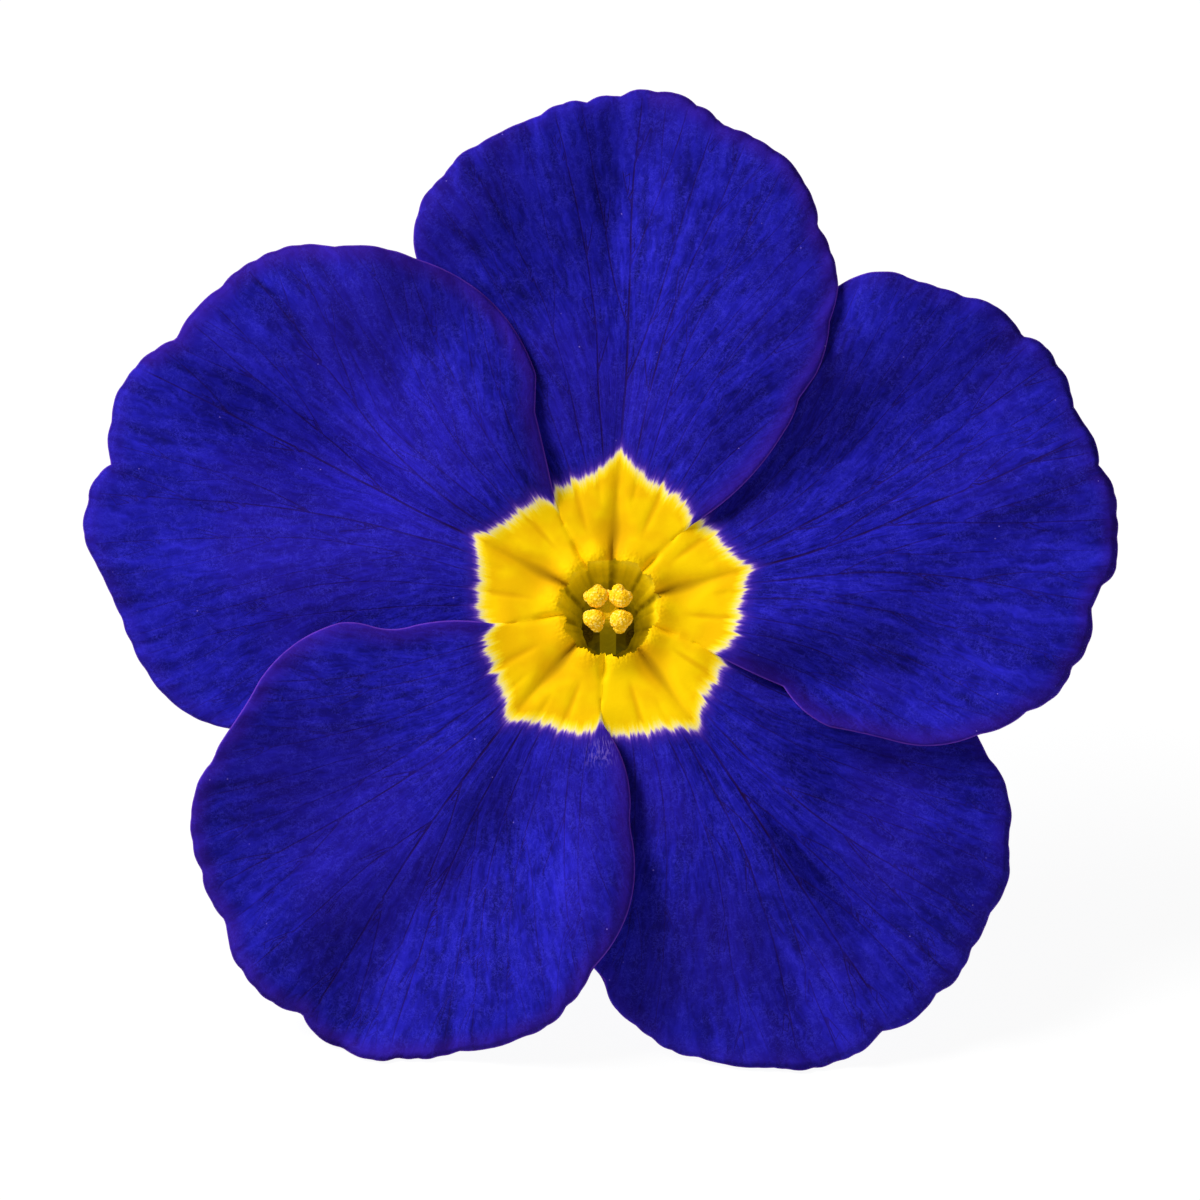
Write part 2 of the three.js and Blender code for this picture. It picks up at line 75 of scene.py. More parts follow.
# %% [markdown]
# Shader nodes are added with ordinary Python sums. A Wire wraps one output socket: adding, multiplying or
# taking from 1 places a Math node and gives back the Wire of its result. Everything that isn't arithmetic
# comes from its one method node(), which sets the node's settings first and then its sockets.

# %% Shader maths as Python
class Wire:
    """An output socket of a shader node, with arithmetic that adds Math nodes."""

    def __init__(self, tree, socket=None):
        self.tree = tree
        self.socket = socket

    def node(self, kind, settings, sockets, out=0):
        made = self.tree.nodes.new(kind)
        for name, value in settings.items():
            if name == "stops":
                self.set_stops(made.color_ramp, value)
            else:
                setattr(made, name, value)
        for key, value in sockets.items():
            if isinstance(value, Wire):
                self.tree.links.new(value.socket, made.inputs[key])
            else:
                made.inputs[key].default_value = value
        return Wire(self.tree, made.outputs[out] if made.outputs else None)

    def set_stops(self, ramp, stops):
        while len(ramp.elements) < len(stops):
            ramp.elements.new(1)
        for element, (place, colour) in zip(ramp.elements, stops):
            element.position = place
            element.color = colour

    def math(self, operation, *others):
        return self.node("ShaderNodeMath", {"operation": operation}, dict(enumerate((self, *others))))

    def __add__(self, other):
        return self.math("ADD", other)

    def __sub__(self, other):
        return self.math("SUBTRACT", other)

    def __rsub__(self, other):
        return self.node("ShaderNodeMath", {"operation": "SUBTRACT"}, {0: other, 1: self})

    def __mul__(self, other):
        return self.math("MULTIPLY", other)

    def __truediv__(self, other):
        return self.math("DIVIDE", other)

    def __abs__(self):
        return self.math("ABSOLUTE")

    __radd__ = __add__
    __rmul__ = __mul__


def smooth(value, low, high):
    """0 below low, 1 above high and an S between them, for numbers, arrays and Wires alike."""
    if isinstance(value, Wire):
        kind = {"interpolation_type": "SMOOTHSTEP"}
        return value.node("ShaderNodeMapRange", kind, {0: value, 1: low, 2: high})
    share = np.clip((value - low) / (high - low), 0, 1)
    return share * share * (3 - 2 * share)


def logarithm(value):
    return value.math("LOGARITHM", math.e)


def mixed(share, first, second):
    """A colour from first, where the share is 0, to second, where it is 1."""
    return share.node("ShaderNodeMix", {"data_type": "RGBA"}, {0: share, 6: first, 7: second}, out=2)


def linear(red, green, blue):
    """A colour seen on a screen, 0 to 255, as the light that a shader works with."""
    seen = [red / 255, green / 255, blue / 255]
    return (*[x / 12.92 if x < 0.04045 else ((x + 0.055) / 1.055) ** 2.4 for x in seen], 1)


def new_finish(name):
    """A material with an empty tree, and a Wire that starts its maths."""
    finish = bpy.data.materials.new(name)
    finish.use_nodes = True
    finish.node_tree.nodes.clear()
    return finish, Wire(finish.node_tree)


def attribute(wire, name):
    return wire.node("ShaderNodeAttribute", {"attribute_name": name}, {}, out="Fac")


def place_in_mm(wire):
    """Object coordinates as millimetres."""
    own = wire.node("ShaderNodeTexCoord", {}, {}, out="Object")
    return wire.node("ShaderNodeVectorMath", {"operation": "MULTIPLY"}, {0: own, 1: [1 / MM] * 3})


def cloudy(vector, scale, detail=2):
    """Soft noise from 0 to 1: scale is how many blotches there are to a millimetre."""
    return vector.node("ShaderNodeTexNoise", {}, {"Vector": vector, "Scale": scale, "Detail": detail})


def vector_of(x, y, z):
    start = next(value for value in (x, y, z) if isinstance(value, Wire))
    return start.node("ShaderNodeCombineXYZ", {}, {0: x, 1: y, 2: z})


def glowing(colour, roughness, shine, glow, strength):
    """What a finish sends to its shader: a colour, how rough and shiny it is, and a soft glow of its own,
    which on the flower's parts is painted light.
    """
    return {"Base Color": colour, "Roughness": roughness, "Specular IOR Level": shine,
            "Emission Color": glow, "Emission Strength": strength}


def surface(finish, wire, sockets, height=None, bump_mm=0.01):
    """The skin: a Principled shader that takes these sockets, with relief from a height."""
    if height is not None:
        bump = {"Strength": 1.0, "Distance": bump_mm * MM, "Height": height}
        sockets["Normal"] = wire.node("ShaderNodeBump", {}, bump)
    skin = wire.node("ShaderNodeBsdfPrincipled", {}, sockets)
    wire.node("ShaderNodeOutputMaterial", {}, {"Surface": skin})
    return finish


print("shader helpers ready")

# %% [markdown]
# A petal is a thin sheet whose outline is the first thing one knows it by. Each petal's edge runs clockwise
# from notch to notch through a short list of points, with a bow for the stretch that starts there, so each
# small scallop of the rim is one shallow curve. These are the outlines that the frame's solids have.

# %% The five petals
PETALS = {
    "petal_top": {
        "median": 85.5,
        "notches": (118.1, 45.9),
        "eye_point": 6.88,
        "lay": (-1, 1),
        "waves": ((6.75, 0.4), (11.5, 2.1)),
        "ccw_bow": 0.8,
        "ccw_margin": [],
        "rim": [
            (-8.3, 15.1, 0.15), (-8.25, 16.9, 0.22), (-7.1, 18.6, 0.2), (-5.7, 20, 0.1),
            (-3, 21.35, 0.24), (-0.9, 22, 0.14), (0.6, 22.25, 0.22), (2.1, 22.42, 0.22),
            (3.85, 21.85, 0.12), (5, 20.95, 0.12), (7.1, 19.95, 0.2), (8.55, 18.35, 0.17),
            (9.1, 16.6, 0.2), (10, 13.9, 0.05),
        ],
        "cw_margin": [(9.62, 12.4, 0.12), (9, 10.05, 0), (8.25, 9, 0.08), (7.6, 7.55, 0.35)],
    },
    "petal_left": {
        "median": 152.4,
        "notches": (189.6, 118.1),
        "eye_point": 6.61,
        "lay": (-1, 1),
        "waves": ((7.25, 1.7), (12.5, 0.6)),
        "ccw_bow": 0.9,
        "ccw_margin": [],
        "rim": [
            (-16.4, -5.3, 0.38), (-19.7, -3.4, 0.13), (-21.1, -0.7, -0.03), (-22.35, 2, 0.36),
            (-22.62, 4.65, 0.28), (-21.6, 6.2, 0.18), (-21.58, 8.1, 0.2), (-20.95, 10, 0.25),
            (-18.85, 11.65, 0.22), (-16.8, 13.95, 0.12), (-15.4, 15, 0.36), (-11.8, 15.5, 0.24),
            (-8.4, 15.05, 0.97),
        ],
        "cw_margin": [(-3.1, 10, 0), (-3.15, 8.4, 0.02)],
    },
    "petal_lower_left": {
        "median": 228.7,
        "notches": (265.8, 189.6),
        "eye_point": 6.61,
        "lay": (1, 1),
        "waves": ((6.25, 0.2), (12, 1.3)),
        "ccw_bow": 0.33,
        "ccw_margin": [(0.97, -8.6, -0.06), (1.05, -10, 0.75)],
        "rim": [
            (-0.7, -15.6, 0.14), (-1.75, -17.2, 0.22), (-3.55, -18.55, 0.2), (-6.5, -19.3, 0.17),
            (-9, -19.6, 0.28), (-11.6, -19.2, 0.33), (-13.3, -17.75, 0.36), (-15.9, -15.85, 0.13),
            (-16.5, -14.6, 0), (-16.7, -13.6, 0.2), (-17.65, -11.6, 0.36), (-17.85, -7.9, 0.1),
            (-17.15, -6.75, 0.05), (-16.4, -5.35, -0.05),
        ],
        "cw_margin": [(-15.05, -3.15, 0.39), (-11.6, -0.68, 0.08), (-10.2, -0.83, -0.14), (-8.4, -0.8, 0.18)],
    },
    "petal_lower_right": {
        "median": 306.4,
        "notches": (337.5, 265.8),
        "eye_point": 6.64,
        "lay": (-1, -1),
        "waves": ((6.5, 2.4), (11, 0.9)),
        "ccw_bow": 1.3,
        "ccw_margin": [],
        "rim": [
            (16, -5.5, 0), (16.6, -6.65, 0.12), (17.35, -7.95, 0.18), (17.4, -10.3, 0.42),
            (16.55, -13.3, 0.1), (15.75, -14.85, 0.05), (15.25, -15.95, 0.12), (14.25, -16.8, 0.39),
            (11.85, -18.4, 0.22), (10.1, -19.7, 0.24), (7.2, -20, 0.17), (4, -19.6, 0.17), (2, -18.85, 0),
            (0.85, -17.95, 0.24), (-0.15, -16.2, 0), (-0.7, -15.6, 1.9),
        ],
        "cw_margin": [],
    },
    "petal_right": {
        "median": 15.2,
        "notches": (45.9, -22.5),
        "eye_point": 6.5,
        "lay": (-1, 1),
        "waves": ((7, 0.9), (13, 1.8)),
        "ccw_bow": 0.9,
        "ccw_margin": [],
        "rim": [
            (10, 13.95, 0.55), (13.5, 14.1, 0.08), (15.4, 13.5, 0.45), (18.05, 11.8, 0.28),
            (19.5, 10.65, 0.2), (20.25, 8.7, 0.02), (20.95, 7.6, 0.15), (21.3, 6.15, 0.2),
            (22.1, 4.4, 0.06), (22.1, 1.8, 0.13), (21.45, 0.95, 0), (20.95, -0.1, 0.37),
            (20.05, -2.65, 0.37), (18.05, -4.5, 0.18), (16, -5.5, 0.32),
        ],
        "cw_margin": [(12.5, -5.85, -0.04), (9.6, -5.2, 0.22), (7.6, -3.45, 0.05)],
    },
}
print(len(PETALS), "petals, with", sum(len(p["rim"]) for p in PETALS.values()), "rim points")

# %% [markdown]
# Where a point lies on its petal is told by two numbers: its reach, in mm from the throat, and its turn, in
# degrees from the petal's median. The share is 0 on the median and 1 at the notch. Every formula for the
# form and for the markings is written with these.

# %% Reach, turn and share
THROAT = {"mouth": 2.08, "fused_to": 4.05, "seam_overlap": 0.4}
THROAT_RIM = (
    (0, 2.02), (7, 2.12), (11, 2.34), (17, 2.11), (29, 2.24), (37, 2.3), (44, 2.07), (56, 2.26),
    (66, 2.16), (75, 2.05), (79, 2.02), (82, 2.14), (85, 2.01), (99, 2.02), (110, 2.08), (114, 2.14),
    (119, 1.8), (125, 1.94), (136, 2.09), (149, 1.99), (158, 2.02), (161, 2.26), (165, 1.95), (177, 2.23),
    (183, 2.07), (191, 1.87), (198, 1.89), (206, 2.15), (217, 2.07), (225, 2.03), (231, 2.2), (243, 2.02),
    (253, 2.17), (266, 2), (269, 2.1), (273, 2.04), (282, 2.25), (294, 2.18), (301, 2.29), (305, 2.2),
    (321, 2.19), (332, 2.02), (345, 2.26), (351, 2.19),
)
EYE = {"notch": 4.9, "shoulder": 5.5, "notch_share": 0.14, "point_share": 0.2}
EYE_TEETH = ((19.5, 1.1, 0.2), (27.5, 1.2, 0.12), (9, 1.3, 0.06))


def hump(distance, width):
    """1 where the distance is 0, and nearly gone at twice the width."""
    return np.exp(-((distance / width) ** 2))


def coming_in(reach, form):
    """0 up to the reach where a form starts, and 1 from the reach where it is full."""
    return smooth(reach, form["from_reach"], form["full_reach"])


def turn_on(petal, x, y):
    """Degrees from the petal's median, counter-clockwise above 0."""
    return (np.degrees(np.arctan2(y, x)) - petal["median"] + 180) % 360 - 180


def across_petal(petal, turn):
    """1 at the counter-clockwise notch, 0 on the median and -1 at the other notch."""
    ccw_notch, cw_notch = petal["notches"]
    return turn / np.where(turn > 0, ccw_notch - petal["median"], petal["median"] - cw_notch)


def eye_edge(petal, turn):
    """Radius of the eye's star: notches between petals, a point on the median and teeth at the veins."""
    share = np.abs(across_petal(petal, turn))
    out_of_notch = np.sqrt(np.clip((1 - share) / EYE["notch_share"], 0, 1))
    shoulder = EYE["notch"] + (EYE["shoulder"] - EYE["notch"]) * out_of_notch
    teeth = sum(height * hump(np.abs(turn) - place, width) for place, width, height in EYE_TEETH)
    return shoulder + teeth + (petal["eye_point"] - EYE["shoulder"]) * np.exp(-share / EYE["point_share"])


def throat_edge(angle):
    """Radius of the throat's rim at an angle of the face, with its uneven lobes and its notches."""
    angles, radii = zip(*THROAT_RIM)
    return np.interp(angle, angles, radii, period=360)


example = eye_edge(PETALS["petal_top"], np.array([0.0, 10.0, 32.0]))
print("the top petal's eye reaches", np.round(example, 2), "mm at its point, its side and its notch")

# %% [markdown]
# The outline becomes a mesh by filling it with a grid: one side on the throat, one on the rim and two on
# the margins. If every inner point is the mean of its four neighbours, like a stretched net, the grid can't
# fold. A coarse net is solved first and halved step by step, which settles far faster than a fine one.

# %% Fill an outline with a net
NET = {"columns": 176, "rows": 160, "coarsest": 16, "sweeps": 160, "crowding": 0.68, "curve_steps": 24}
NOTCH = {"free_from": 5.05, "overlap": 1.4}
CRIMP = {"height": 0.07, "length": 1.15, "fades_within": 1.5}
RAGGED = {"height": 0.03, "waves": (81, 133), "smooth_at": 87, "smooth_within": 35,
          "smoothed": 0.75}


def margin_path(points):
    """A curve through points with bows, each stretch a shallow arc that bows to its left."""
    steps = np.linspace(0, 1, NET["curve_steps"], endpoint=False)[:, None]
    pieces = []
    for (x0, y0, bow), (x1, y1, _) in zip(points, points[1:]):
        start, stop = np.array((x0, y0)), np.array((x1, y1))
        run = stop - start
        outward = np.array((-run[1], run[0])) / np.hypot(*run)
        pull = (start + stop) / 2 + 2 * bow * outward
        pieces.append((1 - steps) ** 2 * start + 2 * steps * (1 - steps) * pull + steps**2 * stop)
    return np.concatenate([*pieces, [points[-1][:2]]])


def along(path, shares):
    """The points at these shares of a path's length."""
    lengths = np.concatenate([[0], np.cumsum(np.hypot(*np.diff(path, axis=0).T))])
    wanted = np.asarray(shares) * lengths[-1]
    return np.stack([np.interp(wanted, lengths, path[:, k]) for k in (0, 1)], axis=-1)


def between_rows(net):
    """A net with a new row midway between each two."""
    finer = np.empty((2 * len(net) - 1, *net.shape[1:]))
    finer[::2] = net
    finer[1::2] = (net[1:] + net[:-1]) / 2
    return finer


def stretched_net(inner, rim, ccw, cw):
    """Points inside four edges, each edge a function of the share along it."""
    net = None
    step = NET["coarsest"]
    while step >= 1:
        over = np.linspace(0, 1, NET["columns"] // step + 1)
        out = np.linspace(0, 1, NET["rows"] // step + 1)
        if net is None:
            net = (1 - out)[:, None, None] * inner(over) + out[:, None, None] * rim(over)
        else:
            net = between_rows(between_rows(net).swapaxes(0, 1)).swapaxes(0, 1)
        net[0], net[-1] = inner(over), rim(over)
        net[:, 0], net[:, -1] = ccw(out), cw(out)
        for _ in range(NET["sweeps"]):
            around = net[:-2, 1:-1] + net[2:, 1:-1] + net[1:-1, :-2] + net[1:-1, 2:]
            net[1:-1, 1:-1] = around / 4
        step //= 2
    return net


def crowded_rows(net):
    """The same net with its rows closer together near the throat."""
    evenly = np.linspace(0, 1, len(net))
    wanted = (1 - NET["crowding"]) * evenly + NET["crowding"] * evenly**2
    place = wanted * (len(net) - 1)
    below = np.minimum(place.astype(int), len(net) - 2)
    part = (place - below)[:, None, None]
    return (1 - part) * net[below] + part * net[below + 1]


def crimped(path):
    """A rim with small scallops between its large ones, stilled towards both ends."""
    step = np.hypot(*np.diff(path, axis=0).T)
    far = np.concatenate([[0], np.cumsum(step)])
    direction = np.gradient(path, axis=0)
    outward = np.stack([-direction[:, 1], direction[:, 0]], axis=-1) / np.hypot(*direction.T)[:, None]
    wave = np.abs(np.sin(np.pi * far / CRIMP["length"] + 0.8 * np.sin(0.7 * far))) - 0.6
    ends = smooth(far, 0, CRIMP["fades_within"]) * smooth(far[-1] - far, 0, CRIMP["fades_within"])
    uneven = 0.6 + 0.4 * np.sin(0.9 * far + path[0, 0])
    return path + outward * (CRIMP["height"] * wave * uneven * ends)[:, None]


def ragged(angle):
    """The fine uneven teeth of the throat's rim, smoother at its top."""
    turn = np.radians(angle)
    first, second = RAGGED["waves"]
    teeth = np.sin(first * turn) + 0.7 * np.sin(second * turn + 2) + 0.5 * np.sin(0.4 * first * turn + 1)
    off_top = (angle - RAGGED["smooth_at"] + 180) % 360 - 180
    return RAGGED["height"] * teeth * (1 - RAGGED["smoothed"] * hump(off_top, RAGGED["smooth_within"]))


def petal_net(petal):
    """The petal's points in the flat of the face, from the throat out, and its free margin."""
    ccw_notch, cw_notch = petal["notches"]

    def polar(radius, angle):
        turn = np.radians(angle)
        return np.stack([radius * np.cos(turn), radius * np.sin(turn)], axis=-1)

    def inner(over):
        first, last = ccw_notch + THROAT["seam_overlap"], cw_notch - THROAT["seam_overlap"]
        angle = first + over * (last - first)
        return polar(throat_edge(angle) + ragged(angle), angle)

    def notch_line(angle, towards):
        seam = angle - towards * THROAT["seam_overlap"]
        ends = [inner(np.array(0.0 if towards < 0 else 1.0)), polar(THROAT["fused_to"], seam)]
        return ends, polar(NOTCH["free_from"], angle - towards * NOTCH["overlap"])

    ccw_seam, ccw_start = notch_line(ccw_notch, -1)
    cw_seam, cw_start = notch_line(cw_notch, 1)
    margin = [(*ccw_start, petal["ccw_bow"]), *petal["ccw_margin"], petal["rim"][0]]
    ccw_free = np.concatenate([ccw_seam[1][None], margin_path(margin)])
    cw_free = margin_path([petal["rim"][-1], *petal["cw_margin"], (*cw_start, 0)])[::-1]
    cw_free = np.concatenate([cw_seam[1][None], cw_free])
    ccw_side = np.concatenate([ccw_seam[0][None], ccw_free])
    cw_side = np.concatenate([cw_seam[0][None], cw_free])
    rim = crimped(margin_path(petal["rim"]))
    net = stretched_net(inner, lambda over: along(rim, over), lambda out: along(ccw_side, out),
                        lambda out: along(cw_side, out))
    return crowded_rows(net), np.concatenate([ccw_free, rim, cw_free[::-1]])


def folded_cells(net):
    """How many cells of a net are turned over."""
    sideways, outward = net[:-1, 1:] - net[:-1, :-1], net[1:, :-1] - net[:-1, :-1]
    turned = sideways[..., 0] * outward[..., 1] - sideways[..., 1] * outward[..., 0]
    return int((turned * np.sign(np.median(turned)) <= 0).sum())


nets = {name: petal_net(petal) for name, petal in PETALS.items()}
print("folded cells:", {name: folded_cells(net) for name, (net, _) in nets.items()})

# %% [markdown]
# The face isn't flat. It rises a little round the eye and bends back at the rim. Each petal has one side
# over a neighbour and one under, a groove on its median, and a rim that is frilled. The solids have all of
# this, some of it deeper. The long soft pleats that catch the light are added here. They differ from petal
# to petal, so each petal has a short list of its own.

# %% Height of the petals
DISH = {"rise": 0.3, "rises_from": 3, "risen_by": 9, "droop": 1.5, "bends_from": 6, "rim_reach": 22.5,
        "curve": 1.3}
LAYERS = {"lift": 0.45, "from_share": 0.25, "full_share": 0.9, "from_reach": 4.2, "full_reach": 7}
MEDIAN_GROOVE = {"depth": 0.3, "share": 0.17, "full_reach": 9, "end_reach": 20}
FRILL = {"height": 0.18, "parts": (0.6, 0.4), "from_reach": 9, "full_reach": 21, "stilled_beside": 0.85}

# Soft pleats of each petal: turn and width in degrees, where they start and end in mm, and height in mm
PLEATS = {
    "petal_top": [
        (3, 14, 6, 23.5, -1), (2, 5, 13, 23.5, -0.9), (28, 9, 13, 23.5, 1.9), (21, 6, 5, 13, 0.7),
        (34, 8, 5, 14, -0.7), (-28, 10, 12, 23.5, -0.6), (-36, 9, 5, 14, -0.7),
    ],
    "petal_left": [
        (-5, 14, 6, 23.5, -1.8), (0, 5, 6, 23.5, -1.1), (-6, 6, 5, 13, 0.9), (-25, 10, 13, 23.5, 1.6),
        (-29, 12, 5, 14, 1.1), (7.5, 3.5, 13, 23.5, 0.6), (18, 6, 13, 23.5, -0.5), (36, 9, 6, 23.5, -0.5),
    ],
    "petal_lower_left": [
        (-33, 10, 13, 23.5, 1.2), (-33, 9, 5, 13, -0.5), (-12, 14, 8, 18, -0.9), (0, 9, 5, 13, 0.8),
        (7, 9, 13, 23.5, -1.4), (12, 14, 8, 18, -1.1), (26, 12, 6, 18, -1), (36, 14, 6, 21, 1.7),
    ],
    "petal_lower_right": [
        (-20, 13, 7, 17, 0.5), (-22, 12, 13, 23.5, -0.5), (-10, 3.5, 13, 23.5, -0.5), (-3, 6, 8, 18, 0.7),
        (3, 3.5, 6, 23.5, -0.8), (9, 8, 6, 17, 0.7), (15, 8, 12, 23.5, 1.2), (21, 8, 6, 23.5, -1.3),
    ],
    "petal_right": [
        (-35, 9, 5, 13, -1.6), (-31, 10, 13, 23.5, 1.7), (-15, 10, 5, 15, 1), (-6, 6, 13, 23.5, -0.5),
        (0, 6, 5, 13, 0.6), (15, 14, 6, 23.5, -1.5), (24, 9, 13, 23.5, 0.8), (36, 6, 6, 15, 0.8),
    ],
}
PLEAT_FADE = 0.6


def dish(reach):
    """Height of the face at a distance from the throat."""
    bent_back = np.maximum(0, (reach - DISH["bends_from"]) / (DISH["rim_reach"] - DISH["bends_from"]))
    risen = DISH["rise"] * smooth(reach, DISH["rises_from"], DISH["risen_by"])
    return risen - DISH["droop"] * bent_back ** DISH["curve"]


def blade_height(petal, reach, across):
    """Height of the petal's middle surface, before its pleats and the folds of the eye."""
    share = np.abs(across)
    beside = smooth(share, LAYERS["from_share"], LAYERS["full_share"])
    lay = np.where(across > 0, *petal["lay"])
    lift = LAYERS["lift"] * lay * beside * coming_in(reach, LAYERS)
    groove_left = 1 - smooth(reach, MEDIAN_GROOVE["full_reach"], MEDIAN_GROOVE["end_reach"])
    groove_left = groove_left * smooth(reach, EYE["shoulder"], petal["eye_point"] + 1)
    groove = MEDIAN_GROOVE["depth"] * hump(across, MEDIAN_GROOVE["share"]) * groove_left
    frill_grown = coming_in(reach, FRILL) * (1 - FRILL["stilled_beside"] * beside)
    waves = zip(FRILL["parts"], petal["waves"])
    frill = sum(part * np.sin(wave * across + start) for part, (wave, start) in waves)
    return dish(reach) + lift - groove + FRILL["height"] * frill * frill_grown


def pleat_height(name, turn, reach):
    """What the soft pleats add: each is full at its middle reach and then fades in part."""
    height = np.zeros_like(turn)
    for turn_at, width, start, stop, rise in PLEATS[name]:
        middle = (start + stop) / 2
        grown = smooth(reach, start, middle) * (1 - PLEAT_FADE * smooth(reach, middle, stop))
        height += rise * hump(turn - turn_at, width) * grown
    return height


print("pleats:", {name: len(rows) for name, rows in PLEATS.items()})

# %% [markdown]
# The yellow eye is folded like a paper star. A long valley on each median and a short pit at each notch part
# it into ten pillows. Their inner ends stand up as a granular collar and roll over into the throat.

# %% Height of the eye
COLLAR = {"height": 0.3, "at": 2.25, "width": 0.58, "fullness": 0.55}
LIP = {"from_reach": 2.25, "drop": 0.03}
VALLEY = {"depth": 0.22, "least_width": 0.2, "width": 0.26, "widest_at": 3.3, "spread": 0.9,
          "parts": ((0.85, 1.4), (0.15, 0.6)), "fades_from": 3.2, "past_shoulder": 1.8}
SEAM = {"depth": 0.2, "width": 0.16, "half_petal": 34, "pit_at": 2.75, "pit_length": 0.5,
        "beyond": 0.25, "fades_from": 3.6, "gone_by": 4.8}
SIDE_FOLDS = ((20.5, 0.2, 3.1, 0.05), (8.7, 0.14, 4.2, 0.03))
SIDE_FOLDS_FADE = (5, 7)


def valley_width(reach):
    """Half the width in mm of the valley on a petal's median."""
    return VALLEY["least_width"] + VALLEY["width"] * hump(reach - VALLEY["widest_at"], VALLEY["spread"])


def eye_height(reach, turn, across):
    """What the folds of the eye add to the face's height."""
    share = np.clip(np.abs(across), 0, 2)
    beside = np.abs(turn) * reach * np.radians(1)
    off_seam = np.abs(1 - share) * reach * np.radians(SEAM["half_petal"])
    pillow = np.abs(np.sin(np.pi * share)) ** COLLAR["fullness"]
    collar = COLLAR["height"] * pillow * hump(reach - COLLAR["at"], COLLAR["width"])
    width = valley_width(reach)
    across_valley = sum(part * hump(beside, wider * width) for part, wider in VALLEY["parts"])
    valley_left = 1 - smooth(reach, VALLEY["fades_from"], EYE["shoulder"] + VALLEY["past_shoulder"])
    valley = VALLEY["depth"] * across_valley * valley_left
    beyond = SEAM["beyond"] * (1 - smooth(reach, SEAM["fades_from"], SEAM["gone_by"]))
    pit = np.maximum(hump(reach - SEAM["pit_at"], SEAM["pit_length"]), beyond)
    crease = SEAM["depth"] * hump(off_seam, SEAM["width"]) * pit
    folds = 0
    for place, width, start, depth in SIDE_FOLDS:
        off_fold = (np.abs(turn) - place) * reach * np.radians(1)
        grown = smooth(reach, start, start + 1) * (1 - smooth(reach, *SIDE_FOLDS_FADE))
        folds = folds + depth * hump(off_fold, width) * grown
    past_lip = np.maximum(0, LIP["from_reach"] - reach) / (LIP["from_reach"] - THROAT["mouth"])
    return collar - valley - crease - folds - LIP["drop"] * past_lip**2


print("collar height on a lobe:", np.round(eye_height(np.array(2.6), np.array(16.0), np.array(0.5)), 2), "mm")

# %% [markdown]
# The veins are grown like real ones. Each starts at the eye and moves outward in short steps, leaning as the
# tissue leans. Every few mm it sends a thinner branch to one side, and a branch that comes near another vein
# stops. The points of the net keep the distance to the nearest vein with a sign for its side, because a
# number that changes its sign across a line stays sharp when the renderer blends it between points.

# %% Grow the veins
VEIN_STARTS = (0, 6, -6, 13, -12, 20, -19, 27, -26, 33, -33)
VEIN = {"starts_at": 5.4, "step": 0.22, "ends_at": 22.7, "first_fork": 7, "fork_every": (1.6, 4),
        "fork_lean": 24, "settles_within": 3.2, "wander": 0.9, "branch_keeps": 0.72, "fades_in": 28,
        "on_median": 1.25, "weaker_by": 20, "least_start": 0.55, "least": 0.24, "apart": 0.5, "free_steps": 6}
FLOW = {"lean": 18, "soft_turn": 12, "most_at": 14, "spread": 7}
FAN = {"softness": 15, "at_eye": 0.3, "from_reach": 5, "full_reach": 22}
QUILT = {"height": 0.03, "width": 0.45, "from_reach": 6, "full_reach": 9}


def flow_lean(turn, reach):
    """How many degrees the tissue leans away from the straight way out."""
    sideways = FLOW["lean"] * turn / np.hypot(turn, FLOW["soft_turn"])
    return sideways * hump(reach - FLOW["most_at"], FLOW["spread"])


def grow_vein(petal, draw, known, start):
    """Rows of x, y and strength along one vein, and the starts of its branches."""
    turn, reach, lean, strength = start
    rows, branches = [], []
    fork_at = max(reach, VEIN["first_fork"]) + draw.uniform(*VEIN["fork_every"])
    side = draw.choice((-1, 1))
    while reach < VEIN["ends_at"] and strength > VEIN["least"]:
        angle = math.radians(petal["median"] + turn)
        place = np.array((reach * math.cos(angle), reach * math.sin(angle)))
        if len(rows) > VEIN["free_steps"] and len(known):
            if np.hypot(*(known - place).T).min() < VEIN["apart"]:
                break
        rows.append((*place, strength))
        if reach > fork_at:
            branches.append((turn, reach, lean + side * VEIN["fork_lean"], strength * VEIN["branch_keeps"]))
            fork_at = reach + draw.uniform(*VEIN["fork_every"])
            side = -side
        settled = (flow_lean(turn, reach) - lean) * VEIN["step"] / VEIN["settles_within"]
        lean += settled + draw.gauss(0, VEIN["wander"])
        turn += math.degrees(VEIN["step"] * math.sin(math.radians(lean)) / reach)
        reach += VEIN["step"] * math.cos(math.radians(lean))
        strength *= 1 - VEIN["step"] / VEIN["fades_in"]
    return rows, branches


def grown_veins(petal, seed):
    """All veins of a petal: rows of x, y, direction and strength."""
    draw = random.Random(seed)
    waiting = []
    for turn in VEIN_STARTS:
        strength = max(VEIN["least_start"], VEIN["on_median"] - abs(turn) / VEIN["weaker_by"])
        waiting.append((turn, VEIN["starts_at"], 0, strength))
    known, veins = np.zeros((0, 2)), []
    while waiting:
        rows, branches = grow_vein(petal, draw, known, waiting.pop(0))
        waiting.extend(branches)
        if len(rows) > VEIN["free_steps"]:
            rows = np.array(rows)
            along_it = np.gradient(rows[:, :2], axis=0) / VEIN["step"]
            veins.append(np.concatenate([rows[:, :2], along_it, rows[:, 2:]], axis=1))
            known = np.concatenate([known, rows[:, :2]])
    return np.concatenate(veins)


def nearest(points, places):
    """For each place, the number of the nearest point and the distance to it in mm."""
    tree = kdtree.KDTree(len(points))
    for i, (x, y) in enumerate(points):
        tree.insert((x, y, 0), i)
    tree.balance()
    found = [tree.find((x, y, 0)) for x, y in places.reshape(-1, 2)]
    number = np.array([hit[1] for hit in found]).reshape(places.shape[:2])
    return number, np.array([hit[2] for hit in found]).reshape(places.shape[:2])


